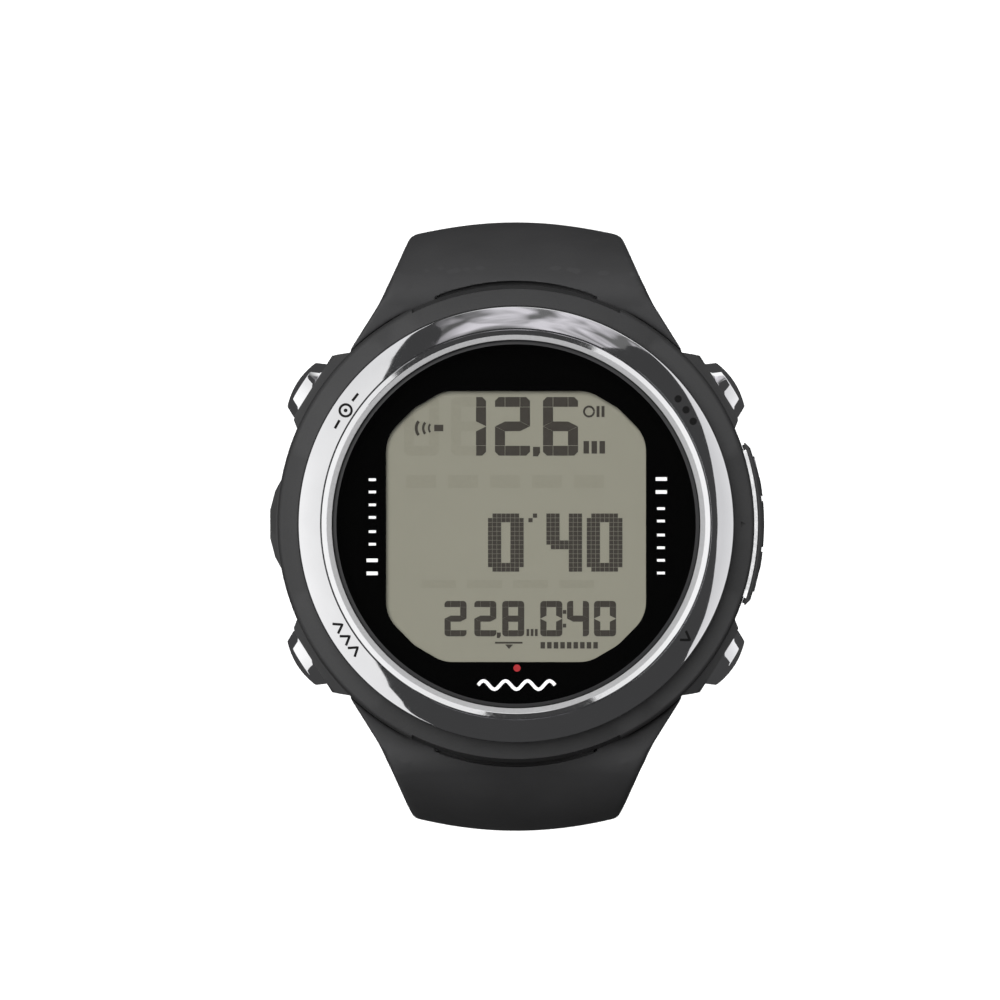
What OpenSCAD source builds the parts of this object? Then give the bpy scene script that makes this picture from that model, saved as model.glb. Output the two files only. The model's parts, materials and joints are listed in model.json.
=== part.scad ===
// Wrist dive computer: round case, four push buttons, segment display,
// user-changeable cell, and a two-piece elastomer strap with a tongue buckle.
// Origin: centre of the flat case back. +Z leaves through the display,
// +Y points to 12 o'clock and +X to 3 o'clock. All sizes are millimetres.

/* [Case] */
// Radius of the case wall
case_r = 23.9; // [23.4:0.1:24.3]
// Height of the case rim that the bezel drops into
rim_z = 12.8; // [12.6:0.1:13]
// Height of the top of the bezel above the case back
top_z = 16; // [15.8:0.1:16.4]
// Outer radius of the bezel
bezel_r = 21.8; // [21.5:0.1:22]

/* [Display] */
// Radius of the crystal
crystal_r = 18.3; // [18.1:0.05:18.35]
// Half width of the display window in the mask
window_x = 13; // [12.6:0.1:13.4]
// Half height of the display window in the mask
window_y = 13.55; // [13.2:0.05:13.6]
// Half length of the window's top and bottom edges, to its corners
window_flat_x = 7.3; // [6.8:0.1:7.9]
// Half length of the window's sides, to their corners
window_flat_y = 9; // [8.2:0.1:9.3]
// Radius of the window's corners
window_round = 3.6; // [1:0.2:4]

/* [Buttons] */
// Angle of each button from the 3 to 9 o'clock line
button_angle = 33; // [30:1:36]
// Height of the button axes above the case back
button_z = 7.4; // [7.2:0.1:7.6]
// Radius of a button at its base
button_r = 3.15; // [3:0.05:3.2]
// Radius of a button's outer face
button_face_r = 2.5; // [2.2:0.1:2.7]
// Distance from the case axis to a button's outer face
button_face_w = 26; // [25.8:0.1:26.4]
// How far a button travels when it is pressed
button_travel = 0.8; // [0.5:0.1:0.8]

/* [Battery] */
// Radius of the coin cell
cell_r = 12.25; // [10:0.05:12.3]
// Thickness of the coin cell
cell_h = 3; // [2:0.1:3.1]
// Radius of the battery hatch
hatch_r = 13.52; // [13.45:0.01:13.56]
// Angle that the hatch turns to unlock
hatch_turn = 40; // [35:1:45]

/* [Strap] */
// Distance from the case axis to each lug pin
pin_y = 22.7; // [22.5:0.1:22.9]
// Height of the lug pins above the case back
pin_z = 5.4; // [5.3:0.1:5.6]
// Radius of the strap's round end at the lug pin
strap_end_r = 3.4; // [3.2:0.1:3.4]
// Greatest reach of the strap from the case axis
strap_reach = 29.9; // [29:0.1:31]
// Width of the strap below the case
strap_w = 20.4; // [18:0.1:20.6]
// Thickness of the strap where it turns down
strap_knee_t = 3.8; // [3.6:0.1:4]
// Thickness of the strap at its free ends
strap_tip_t = 3.2; // [3:0.1:3.4]
// Depth of the tail's flat run below the case back
tail_drop = 54; // [54:1:58]
// Length of the tail past the case axis on its flat run
tail_past = 29; // [24:1:30]

/* [Hidden] */
$fn = 96;

fit = 0.05;             // radial clearance of a shaft in its bore
gap = 0.1;              // clearance between fixed pieces
cut = 1;                // how far a cutter runs past a face
BUTTONS = [button_angle, 180 - button_angle, 180 + button_angle, 360 - button_angle];

// heights in the case
back_r = 20.6;          // flat case back
chamfer_z = 3.6;
shoulder_drop = 1.5;    // from the rim down to where the wall starts to round over
shoulder_w = 0.5;       // width of that rounding
rim_slope = 0.4;        // fall of the rim's top from the bezel out to the rounding
relief_r = 23.5;        // rim's edge where the wall leans back in front of the strap's scoop
relief_z = 9;
relief_half = 10.4;
cover_t = 1.8;          // rear cover
cover_r = 19;
chamber_r = 15.6;       // battery chamber
module_r = 17.8;        // display module cavity
module_z = 5.4;
bezel_seat_z = 12;
tray_z = 5.5;
tray_t = 0.8;
pcb_z = 7.9;
pcb_t = 0.8;
pcb_r = 16.4;
deck_z = 8.75;          // module frame deck above the circuit board
pocket_z = 9.6;         // display pocket floor
lcd_z = 10.65;
lcd_t = 1.5;
window_shift = -0.25;   // the window sits a little towards 6 o'clock
window_cut = [10.2, 11.85];     // blunt corner halfway along each sloping edge
mask_z = 12.3;
mask_t = 0.3;
crystal_z = 13.4;
crystal_top = 15.6;

// buttons, measured along each button's own axis
stem_r = 1;
stem_end_w = 16.6;
cap_base_w = 23.4;
cap_step_w = 24.6;
pocket_floor_w = 22.2;
seal_w = 20.1;
spring_r = 2.1;
spring_wire_r = 0.22;
spring_top_w = 24.4;
spring_turns = 3;
switch_face_w = 15.65;

// battery hatch
tab_z = cover_t + gap;
tab_t = 0.8;
tab_r = 14.6;
tab_arc = 26;

// sensor cover on the 3 o'clock side
cover_seat_r = 23;
cover_low_z = 4;
cover_lip_z = 8.9;      // above this only the trim's lip stands between case and cover
cover_high_z = 11.3;
cover_outer_r = 24.85;
cover_screw_at = 13.5;  // angle of each sensor cover screw
cover_notch_at = 5.9;   // angle of each notch in the sensor cover's outline
trim_lip_r = 23.85;
trim_outer_r = 24.2;
trim_arc = 17.5;
shell_arc = 19.5;
contact_y = 1.8;        // the data contacts stand at plus and minus this
rear_screw_r = 17;      // circle of the rear cover screws
rear_screw_from = 45;
rear_screw_core = 0.75;
contact_pin_r = 0.9;
zebra_y = 13.6;         // middle of each connector strip
guide_w = 30;           // wider than the light guide that it trims

// strap
strap_bore_r = 0.95;
lug_r = 2.2;
lug_half = 7.8;
slot_half = 8.1;
scoop_r = 21.6;         // scooped edge of the strap in front of the case
scoop_reach = 24.5;
leave_angle = 44;       // where the strap leaves its round end
knee_r = (strap_reach - pin_y - strap_end_r * sin(leave_angle)) / (1 - sin(leave_angle));
knee_start = [pin_y + strap_end_r * sin(leave_angle), pin_z + strap_end_r * cos(leave_angle)];
leave_heading = leave_angle - 90;
buckle_bend = [60, 8];      // first bend of the buckle half: radius and heading at its end
buckle_curl = [30, 76];     // second bend
tail_bend = [210, 9];
tail_bend_end = bend_end(bend_end(knee_start, leave_heading, knee_r, 0), 0, tail_bend[0], tail_bend[1]);
tail_curl_r = (tail_drop + tail_bend_end[1]) / (1 - sin(tail_bend[1]));
tail_flat_start = bend_end(tail_bend_end, tail_bend[1], tail_curl_r, 90);
tail_curl_centre = tail_bend_end + tail_curl_r * wrist_side(tail_bend[1]);
curl_start = bend_end(bend_end(knee_start, leave_heading, knee_r, 0), 0, buckle_bend[0], buckle_bend[1]);
curl_centre = curl_start + buckle_curl[0] * wrist_side(buckle_bend[1]);
curl_end = bend_end(curl_start, buckle_bend[1], buckle_curl[0], buckle_curl[1]);
buckle_at = curl_end + strap_tip_t / 2 * wrist_side(buckle_curl[1]);

// buckle
buckle_pin_r = 0.8;
buckle_arm_in = 10.6;
buckle_arm_out = 12.4;
buckle_reach = 11.6;
buckle_bar_r = 1.1;
tongue_w = 3;
tongue_slot_r = 3.5;
strap_lip_r = 2.2;      // round end of the strap at the buckle pin
keeper_w = 5;
keeper_wall = 1.3;
keeper_gap = 0.35;
fixed_keeper_at = 60.7; // heading of the strap under each keeper
free_keeper_at = 43.5;
hole_r = 1.4;
hole_pitch = 6;
hole_turn = hole_pitch / tail_curl_r * 180 / PI;

// Position at the end of a bend that starts at "from" on heading h0 and ends on heading h1.
// A heading is the angle from straight down towards the wrist side.
function bend_end(from, h0, r, h1) =
    from + [-r * (cos(h0) - cos(h1)), -r * (sin(h1) - sin(h0))];
function wrist_side(h) = [-cos(h), sin(h)];
function mix(a, b, k) = a + (b - a) * k;
// Points at even steps round a bend, moved t0..t1 towards the wrist.
function bend_points(from, h0, r, h1, t0, t1, steps) = [
    for (i = [0 : steps])
        let (h = mix(h0, h1, i / steps))
        bend_end(from, h0, r, h) + mix(t0, t1, i / steps) * wrist_side(h)
];
function reversed(list) = [for (i = [len(list) - 1 : -1 : 0]) list[i]];
function ring_points(r, a0, a1, steps) = [
    for (i = [0 : steps]) r * [cos(mix(a0, a1, i / steps)), sin(mix(a0, a1, i / steps))]
];

// Places a child so that its Z axis is a button's axis, with z = 0 on the case axis.
module on_button(angle) {
    rotate([0, 0, angle]) translate([0, 0, button_z]) rotate([0, 90, 0]) children();
}

module tube(r_out, r_in, h) {
    difference() {
        cylinder(r = r_out, h = h);
        translate([0, 0, -cut]) cylinder(r = r_in, h = h + 2 * cut);
    }
}

// A solid between two radii and two angles.
module arc_block(r0, r1, a0, a1, h) {
    linear_extrude(h) polygon(concat(ring_points(r1, a0, a1, 16), ring_points(r0, a1, a0, 16)));
}

// Unit vector from one point to the next.
function toward(from, to) = (to - from) / norm(to - from);

// An outline's corners, each replaced by an arc of radius r.
function rounded(corners, r, steps) = [
    for (i = [0 : len(corners) - 1])
        let (
            at = corners[i],
            back = toward(at, corners[(i + len(corners) - 1) % len(corners)]),
            on = toward(at, corners[(i + 1) % len(corners)]),
            half = acos(back * on) / 2,
            centre = at + toward([0, 0], back + on) * r / sin(half)
        )
        for (k = [0 : steps])
            let (edge = mix(back, on, k / steps) * r / tan(half), chord = at + edge)
            centre + toward(centre, chord) * r
];

// An outline moved outwards by g; its corners run anticlockwise.
function grown(corners, g) = [
    for (i = [0 : len(corners) - 1])
        let (
            at = corners[i],
            back = toward(corners[(i + len(corners) - 1) % len(corners)], at),
            on = toward(at, corners[(i + 1) % len(corners)]),
            out = [back[1] + on[1], -back[0] - on[0]]
        )
        at + out * g / (1 + back * on)
];

module window_outline(grow) {
    quarter = [[window_x, window_flat_y], window_cut, [window_flat_x, window_y]];
    corners = concat(
        quarter,
        [for (i = [2, 1, 0]) [-quarter[i][0], quarter[i][1]]],
        [for (i = [0, 1, 2]) [-quarter[i][0], -quarter[i][1]]],
        [for (i = [2, 1, 0]) [quarter[i][0], -quarter[i][1]]]
    );
    translate([0, window_shift]) polygon(rounded(grown(corners, grow), window_round + grow, 6));
}

// ---- case ----

// Quarter of an ellipse from its widest point up to its top.
function shoulder_points(r_in, r_out, z_low, z_high, steps) = [
    for (i = [0 : steps])
        let (a = 90 * i / steps)
        [mix(r_in, r_out, cos(a)), mix(z_low, z_high, sin(a))]
];

module case_turned() {
    rotate_extrude() polygon(concat(
        [[0, 0], [back_r - 0.6, 0], [back_r, 0.15], [case_r - 0.3, chamfer_z - 0.5], [case_r, chamfer_z]],
        shoulder_points(case_r - shoulder_w, case_r, rim_z - shoulder_drop, rim_z - rim_slope, 6),
        [[bezel_r + 0.1, rim_z], [0, rim_z]]
    ));
}

// The raised land that carries a button, drawn on +X and towards +Y.
module button_boss() {
    intersection() {
        linear_extrude(rim_z) polygon([
            [18, -4.3], [23.6, -3.9], [24.3, -3.4], [24.5, -2.9],
            [24.6, 4.1], [24.1, 4.6], [23.1, 5.5], [18, 5.9]
        ]);
        rotate_extrude() polygon([
            [0, 2.2], [22.6, 2.2], [24, 2.9], [25.4, 3.9], [25.4, 9.9], [24.7, 11], [24, 11.6],
            [23, 12.3], [bezel_r + 0.1, rim_z], [0, rim_z]
        ]);
    }
}

module contact_boss() {
    intersection() {
        linear_extrude(rim_z) polygon([
            [-18, 4.4], [-23.5, 4.4], [-24.1, 3.3], [-24.6, 1.4],
            [-24.6, -1.4], [-24.1, -3.3], [-23.5, -4.4], [-18, -4.4]
        ]);
        rotate_extrude() polygon([
            [0, 2.6], [22.9, 2.6], [24.3, 3.6], [24.9, 4.6], [24.9, 9.8], [24.6, 10.9], [24, 11.6],
            [23, 12.2], [0, 12.2]
        ]);
    }
}

module lug() {
    translate([-lug_half, pin_y, pin_z]) rotate([0, 90, 0]) cylinder(r = lug_r, h = 2 * lug_half);
    root_y = module_r + 0.4;
    translate([-lug_half, root_y, pin_z - lug_r]) cube([2 * lug_half, pin_y - root_y, 2 * lug_r]);
}

// Room for the strap's round end under the case shoulder.
module scoop_relief() {
    intersection() {
        translate([-relief_half, 0, relief_z]) cube([2 * relief_half, 30, 10]);
        rotate_extrude() polygon([
            [relief_r, rim_z + 1], [relief_r, rim_z - 0.6], [case_r + 0.1, relief_z],
            [30, relief_z], [30, rim_z + 1]
        ]);
    }
}

module strap_recess() {
    r = strap_end_r + 0.35;
    half = 17;
    translate([-half, pin_y, pin_z]) rotate([0, 90, 0]) cylinder(r = r, h = 2 * half);
    translate([-half, pin_y, -cut]) cube([2 * half, 9, pin_z + r + cut]);
    translate([-half, back_r - 0.2, -cut]) cube([2 * half, 9, pin_z + cut]);
}

module pin_bore(r, half) {
    translate([-half, pin_y, pin_z]) rotate([0, 90, 0]) cylinder(r = r, h = 2 * half);
}

module both_ends() {
    children();
    mirror([0, 1, 0]) children();
}

module case_body() {
    color("dimgray") difference() {
        union() {
            difference() {
                union() {
                    case_turned();
                    for (side = [0, 1]) mirror([side, 0, 0]) both_ends()
                        rotate([0, 0, button_angle]) button_boss();
                    contact_boss();
                }
                both_ends() {
                    strap_recess();
                    scoop_relief();
                }
            }
            both_ends() lug();
        }
        both_ends() pin_bore(0.9, lug_half + cut);
        // recess for the rear cover, battery chamber and module cavity
        translate([0, 0, -cut]) cylinder(r = cover_r + gap, h = cover_t + cut);
        cylinder(r = chamber_r, h = rim_z);
        translate([0, 0, module_z]) cylinder(r = module_r, h = rim_z);
        translate([0, 0, bezel_seat_z]) cylinder(r = bezel_r + 0.05, h = rim_z);
        translate([0, 0, bezel_seat_z - 1.5]) tube(20.65, 19.55, 2);
        translate([0, 0, cover_t - 0.01]) tube(18.7, 18, 0.56);
        at_rear_screws() cylinder(r = rear_screw_core, h = 4.4);
        for (angle = BUTTONS) on_button(angle) {
            cylinder(r = stem_r + fit, h = case_r);
            translate([0, 0, pocket_floor_w]) cylinder(r = button_r + 0.09, h = 5);
            translate([0, 0, seal_w - 0.5]) cylinder(r = 2, h = 1);
        }
        // seat of the sensor trim with a rebate for its lip, and a dimple that points at it
        sensor_seat(cover_seat_r, cover_low_z, cover_lip_z);
        sensor_seat(trim_lip_r - 0.05, cover_low_z, rim_z);
        translate([22.65, 0, 12.3]) cylinder(r = 0.3, h = 2, $fn = 3);
        // sensor bore and its three water ports
        on_button(0) cylinder(r = 2.7, h = 22);
        for (a = [-1, 0, 1]) translate([20, 1.2 * a, button_z]) rotate([0, 90, 0]) cylinder(r = 0.4, h = 5);
        sensor_screw_holes(0.6, 20.5, button_z);
        at_contacts(-26) cylinder(r = contact_pin_r, h = 9);
    }
}

module sensor_seat(r, low_z, high_z) {
    half = trim_arc + 0.2;
    translate([0, 0, low_z]) arc_block(r, case_r + 2, -half, half, high_z - low_z);
}

module at_rear_screws() {
    for (i = [0 : 3]) rotate([0, 0, rear_screw_from + 90 * i]) translate([rear_screw_r, 0, 0]) children();
}

// Places a child at each data contact with its Z axis along +X.
module at_contacts(x) {
    for (a = [-1, 1]) translate([x, contact_y * a, button_z]) rotate([0, 90, 0]) children();
}

module bezel_ring() {
    color("silver") rotate_extrude() polygon([
        [18.4, 15.3], [18.9, 15.75], [19.05, 15.95], [19.2, top_z], [19.35, 15.95], [19.45, 15.75],
        [19.55, 15.75], [19.7, 15.9], [20.4, 15.55], [21.1, 14.95], [21.6, 14.2], [bezel_r, 13.4],
        [bezel_r, bezel_seat_z], [20.6, bezel_seat_z],
        [20.6, bezel_seat_z - 1.4], [19.6, bezel_seat_z - 1.4],
        [19.6, bezel_seat_z], [18.95, bezel_seat_z], [18.95, 15], [18.4, 15]
    ]);
}

module crystal() {
    color("lightblue", 0.35) rotate_extrude() polygon([
        [0, crystal_z], [crystal_r, crystal_z], [crystal_r, crystal_top - 0.35],
        [crystal_r - 0.35, crystal_top], [0, crystal_top]
    ]);
}

module crystal_gasket() {
    color("black") translate([0, 0, crystal_z - 0.2]) tube(18.93, crystal_r + 0.03, 1.75);
}

module flange_ring() {
    color("black") translate([0, 0, mask_z + mask_t]) tube(18.2, 17.6, crystal_z - mask_z - mask_t - 0.03);
}

module dial_mask() {
    color("black") translate([0, 0, mask_z]) linear_extrude(mask_t) difference() {
        circle(r = 17.55);
        window_outline(0);
    }
}

module lcd_panel() {
    color("darkseagreen") translate([0, 0, lcd_z]) linear_extrude(lcd_t) window_outline(0.75);
}

module backlight_guide() {
    color("whitesmoke") intersection() {
        translate([0, 0, pocket_z + 0.05]) linear_extrude(0.9) window_outline(0.6);
        translate([-guide_w / 2, -zebra_y + 0.7, pocket_z]) cube([guide_w, 2 * (zebra_y - 0.7), 2]);
    }
}

module zebra_connectors() {
    color("dimgray") for (s = [-1, 1])
        translate([-7, zebra_y * s - 0.5, pcb_z + pcb_t]) cube([14, 1, lcd_z - pcb_z - pcb_t]);
}

module button_notches(low_z, high_z) {
    for (angle = BUTTONS) rotate([0, 0, angle])
        translate([switch_face_w + 0.05, -2.1, low_z]) cube([4, 4.2, high_z - low_z]);
}

module module_frame() {
    color("ivory") difference() {
        translate([0, 0, tray_z + tray_t + gap])
            cylinder(r = module_r - 0.2, h = mask_z - tray_z - tray_t - 2 * gap);
        cylinder(r = pcb_r + 0.2, h = deck_z);
        translate([0, 0, pocket_z]) linear_extrude(5) window_outline(0.9);
        for (s = [-1, 1]) translate([-7.1, zebra_y * s - 0.6, deck_z - cut]) cube([14.2, 1.2, 5]);
        button_notches(0, 9.3);
    }
}

module main_pcb() {
    color("green") difference() {
        translate([0, 0, pcb_z]) cylinder(r = pcb_r, h = pcb_t);
        button_notches(0, 12);
    }
}

module processor_chip() {
    color("#202020") translate([-1, -4, pcb_z - 1.2]) cube([8, 8, 1.2]);
}

module quartz_can() {
    color("silver") translate([9, -1, pcb_z - 1.2]) cube([2, 6, 1.2]);
}

module buzzer() {
    color("goldenrod") translate([-8, 0, pcb_z - 1.3]) cylinder(r = 4.3, h = 1.3);
}

module side_switches() {
    color("silver") for (angle = BUTTONS) rotate([0, 0, angle])
        translate([switch_face_w - 1.5, -1.5, pcb_z - 1.3]) cube([1.5, 3, 1.3]);
}

module battery_tray() {
    color("ivory") difference() {
        translate([0, 0, tray_z]) cylinder(r = module_r - 0.2, h = tray_t);
        translate([0, 0, tray_z - cut]) cylinder(r = 1.2, h = 3);
        translate([-13.2, -2.2, tray_z - cut]) cube([0.8, 4.4, 3]);
        button_notches(0, 12);
    }
}

module battery_contact_minus() {
    color("gold") {
        translate([-5, -1.5, 2.2 + cell_h + 0.1]) cube([10, 3, 0.15]);
        translate([0, 0, 2.2 + cell_h + 0.1]) cylinder(r = 0.8, h = pcb_z - 2.3 - cell_h - 1.25);
    }
}

module battery_contact_plus() {
    color("gold") translate([-12.9, -2, 2.8]) cube([0.3, 4, pcb_z - 2.8]);
}

module coin_cell() {
    color("silver") translate([0, 0, 2.2]) {
        cylinder(r = cell_r, h = cell_h - 0.4);
        cylinder(r = cell_r - 1.5, h = cell_h);
    }
}

module pressure_sensor() {
    color("silver") on_button(0) {
        translate([0, 0, 18.3]) cylinder(r = 2.6, h = 2.2);
        translate([0, 0, 20.5]) cylinder(r = 1.8, h = 1.2);
    }
}

// A turned outline swept between two angles about the case axis.
module turned_arc(a0, a1) {
    rotate([0, 0, a0]) rotate_extrude(angle = a1 - a0) children();
}

module sensor_trim() {
    low = cover_low_z + gap;
    color("silver") difference() {
        turned_arc(1.5 - trim_arc, trim_arc) polygon([
            [cover_seat_r + 0.05, low], [trim_outer_r, low], [trim_outer_r, cover_high_z - 0.6],
            [trim_outer_r - 0.12, cover_high_z - 0.2], [trim_lip_r, cover_high_z],
            [trim_lip_r, cover_lip_z - gap], [cover_seat_r + 0.05, cover_lip_z - gap]
        ]);
        translate([0, 0, button_z - 1.8]) arc_block(22, 26, -6, 6, 3);
        sensor_screw_holes(0.7, 22, button_z);
    }
}

module sensor_screw_holes(r, from, z) {
    for (a = [-1, 1]) rotate([0, 0, cover_screw_at * a]) translate([from, 0, z]) rotate([0, 90, 0])
        cylinder(r = r, h = 5);
}

module sensor_cover() {
    low = cover_low_z + 0.3;
    high = cover_high_z - 0.5;
    inner = trim_outer_r + 0.05;
    outer = cover_outer_r;
    color("dimgray") difference() {
        intersection() {
            union() {
                turned_arc(-shell_arc, shell_arc) polygon([
                    [inner, low], [outer - 0.3, low], [outer, low + 0.5], [outer, high - 0.8],
                    [outer - 0.15, high - 0.3], [outer - 0.4, high], [inner, high]
                ]);
                // each end closes against the case wall beside the trim
                for (s = [0, 1]) mirror([0, s, 0]) translate([0, 0, low + 0.2])
                    arc_block(case_r + gap, inner + 0.2, trim_arc + 0.4, shell_arc - 0.3, high - low - 0.3);
            }
            // the ends slope back towards the case
            linear_extrude(20) polygon([
                [20, -9], [22.05, -9], [23.45, -7.6], [24.9, -3], [25.2, 0],
                [24.9, 3], [23.45, 7.6], [22.05, 9], [20, 9]
            ]);
        }
        for (a = [-1, 1]) rotate([0, 0, cover_notch_at * a]) translate([outer - 0.15, -0.25, 0])
            cube([1, 0.5, 20]);
        for (i = [-1 : 1]) rotate([0, 0, 3.1 * i]) translate([24, -0.35, button_z - 1.3])
            cube([2, 0.7, 2.6]);
        sensor_screw_holes(0.7, 23, button_z);
        sensor_screw_holes(1.1, 24.5, button_z);
    }
}

module sensor_cover_screws() {
    color("silver") for (a = [-1, 1]) on_button(cover_screw_at * a) difference() {
        union() {
            translate([0, 0, 20.6]) cylinder(r = 0.6, h = 3.95);
            translate([0, 0, 24.5]) cylinder(r = 1.05, h = 0.3);
        }
        translate([-0.15, -2, 24.65]) cube([0.3, 4, 1]);
    }
}

module data_contacts() {
    color("gold") at_contacts(-24.3) cylinder(r = contact_pin_r, h = 6.1);
}

// ---- case back ----

module rear_cover() {
    color("dimgray") difference() {
        cylinder(r = cover_r, h = cover_t);
        translate([0, 0, -cut]) cylinder(r = hatch_r + 0.08, h = 9);
        for (i = [0 : 2]) rotate([0, 0, 120 * i - hatch_turn]) translate([0, 0, -cut])
            arc_block(12, tab_r + 0.2, -tab_arc / 2 - 1.5, tab_arc / 2 + 1.5, 9);
        at_rear_screws() translate([0, 0, -cut]) {
            cylinder(r = rear_screw_core + 0.1, h = 9);
            cylinder(r = 1.6, h = 0.9 + cut);
        }
    }
}

module rear_cover_gasket() {
    color("black") translate([0, 0, cover_t]) tube(18.65, 18.05, 0.5);
}

module rear_cover_screws() {
    color("silver") at_rear_screws() difference() {
        union() {
            translate([0, 0, 0.1]) cylinder(r = 1.5, h = 0.8);
            translate([0, 0, 0.5]) cylinder(r = rear_screw_core, h = 3.8);
        }
        translate([-2, -0.2, -cut]) cube([4, 0.4, cut + 0.5]);
        translate([-0.2, -2, -cut]) cube([0.4, 4, cut + 0.5]);
    }
}

module battery_hatch() {
    color("dimgray") difference() {
        union() {
            cylinder(r = hatch_r, h = cover_t + 0.2);
            for (i = [0 : 2]) rotate([0, 0, 120 * i]) translate([0, 0, tab_z])
                arc_block(12, tab_r, -tab_arc / 2, tab_arc / 2, tab_t);
        }
        translate([0, 0, tab_z + 0.2]) cylinder(r = cell_r + 0.3, h = 5);
        translate([0, 0, 0.7]) tube(hatch_r + 1, 12.6, 0.9);
        for (s = [0, 1]) mirror([s, 0, 0]) translate([3, -0.8, -cut]) cube([6, 1.6, cut + 0.9]);
    }
}

module hatch_o_ring() {
    color("black") translate([0, 0, 1.15]) rotate_extrude() translate([13.1, 0]) circle(r = 0.44, $fn = 24);
}

// ---- buttons ----

module button(angle) {
    color("silver") on_button(angle) rotate_extrude() polygon([
        [0, stem_end_w], [stem_r, stem_end_w], [stem_r, cap_base_w], [1.6, cap_base_w], [1.6, spring_top_w],
        [2.6, spring_top_w], [2.6, cap_base_w], [button_r, cap_base_w], [button_r, cap_step_w],
        [button_face_r + 0.15, button_face_w - 0.25], [button_face_r - 0.1, button_face_w - 0.05],
        [1.6, button_face_w], [0, button_face_w + 0.1]
    ]);
}

module button_clip(angle) {
    color("silver") on_button(angle) translate([0, 0, 17.1]) difference() {
        tube(1.7, stem_r, 0.4);
        translate([-0.5, 0.2, -cut]) cube([1, 3, 3]);
    }
}

// Points round the spring's wire at one step along its coil.
function wire_ring(step, steps, length) =
    let (turn = 360 * spring_turns * step / steps)
    [for (k = [0 : 7]) let (a = 45 * k, r = spring_r + spring_wire_r * cos(a))
        [r * cos(turn), r * sin(turn), length * step / steps + spring_wire_r * sin(a)]];

module button_spring(angle) {
    length = spring_top_w - pocket_floor_w - 2 * spring_wire_r - 0.06;
    steps = 18 * spring_turns;
    rings = [for (i = [0 : steps]) wire_ring(i, steps, length)];
    sides = [for (i = [0 : steps - 1], k = [0 : 7])
        [8 * i + k, 8 * i + 8 + k, 8 * i + 8 + (k + 1) % 8, 8 * i + (k + 1) % 8]];
    ends = [[for (k = [0 : 7]) k], [for (k = [7 : -1 : 0]) 8 * steps + k]];
    color("silver") on_button(angle) translate([0, 0, pocket_floor_w + spring_wire_r + 0.03])
        polyhedron(points = [for (ring = rings) each ring], faces = concat(sides, ends));
}

module button_o_rings() {
    color("black") for (angle = BUTTONS) on_button(angle) translate([0, 0, seal_w])
        rotate_extrude() translate([1.5, 0]) circle(r = 0.44, $fn = 24);
}

// ---- strap ----

module lug_pins() {
    color("silver") both_ends() pin_bore(0.9, 12.6);
}

// The strap's outline seen from above, for one end: wide at the case, narrow at its reach.
module strap_plan() {
    polygon([
        [17, 0], [17, 15], [15.8, 18.2], [13.3, pin_y], [10.95, 28.1], [10.4, 29.1], [9.6, 31.5],
        [-9.6, 31.5], [-10.4, 29.1], [-10.95, 28.1], [-13.3, pin_y], [-15.8, 18.2], [-17, 15], [-17, 0],
        [-17, -60], [17, -60]
    ]);
}

// The strap's outline seen from 12 o'clock.
module strap_front() {
    half = strap_w / 2;
    polygon([
        [-half, -70], [half, -70], [half, -9], [12.2, -3], [16, 4], [16, 12],
        [-16, 12], [-16, 4], [-12.2, -3], [-half, -9]
    ]);
}

// Turns a Y-Z outline into a solid across X.
module across(width) {
    rotate([90, 0, 90]) translate([0, 0, -width / 2]) linear_extrude(width) children();
}

// The strap's round end, from its underside over the top to where the knee starts.
function end_points() = [
    for (i = [1 : 23])
        let (a = 270 - leave_angle - 180 * i / 24)
        [pin_y, pin_z] + strap_end_r * [cos(a), sin(a)]
];

module strap_cuts() {
    pin_bore(strap_bore_r, 20);
    pin_bore(lug_r + 0.35, slot_half);
    intersection() {
        translate([-slot_half, 0, -6]) cube([2 * slot_half, 30, 20]);
        translate([0, scoop_reach - scoop_r, -6]) cylinder(r = scoop_r, h = 20);
    }
}

module strap_upper(outline_width) {
    intersection() {
        across(outline_width) children();
        translate([0, 0, -70]) linear_extrude(90) strap_plan();
        rotate([90, 0, 0]) translate([0, 0, -40]) linear_extrude(80) strap_front();
    }
}

module buckle_half_outline() {
    knee = bend_end(knee_start, leave_heading, knee_r, 0);
    polygon(concat(
        end_points(),
        bend_points(knee_start, leave_heading, knee_r, 0, 0, 0, 7),
        bend_points(knee, 0, buckle_bend[0], buckle_bend[1], 0, 0, 2),
        bend_points(curl_start, buckle_bend[1], buckle_curl[0], buckle_curl[1], 0, 0, 14),
        reversed(concat(
            bend_points(knee_start, leave_heading, knee_r, 0, 2 * strap_end_r, strap_knee_t, 7),
            bend_points(knee, 0, buckle_bend[0], buckle_bend[1], strap_knee_t, strap_tip_t, 2),
            bend_points(curl_start, buckle_bend[1], buckle_curl[0], buckle_curl[1],
                        strap_tip_t, strap_tip_t, 14)
        ))
    ));
}

module tail_half_outline() {
    knee = bend_end(knee_start, leave_heading, knee_r, 0);
    polygon(concat(
        end_points(),
        bend_points(knee_start, leave_heading, knee_r, 0, 0, 0, 7),
        bend_points(knee, 0, tail_bend[0], tail_bend[1], 0, 0, 4),
        bend_points(tail_bend_end, tail_bend[1], tail_curl_r, 90, 0, 0, 12),
        [[-tail_past, -tail_drop], [-tail_past, strap_tip_t - tail_drop]],
        reversed(concat(
            bend_points(knee_start, leave_heading, knee_r, 0, 2 * strap_end_r, strap_knee_t, 7),
            bend_points(knee, 0, tail_bend[0], tail_bend[1], strap_knee_t, strap_tip_t, 4),
            bend_points(tail_bend_end, tail_bend[1], tail_curl_r, 90, strap_tip_t, strap_tip_t, 12)
        ))
    ));
}

// Places a child at the buckle pin: local Y runs on along the strap, local Z leaves the wrist.
module at_buckle() {
    translate([0, buckle_at[0], buckle_at[1]]) rotate([-90 - buckle_curl[1], 0, 0]) children();
}

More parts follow.
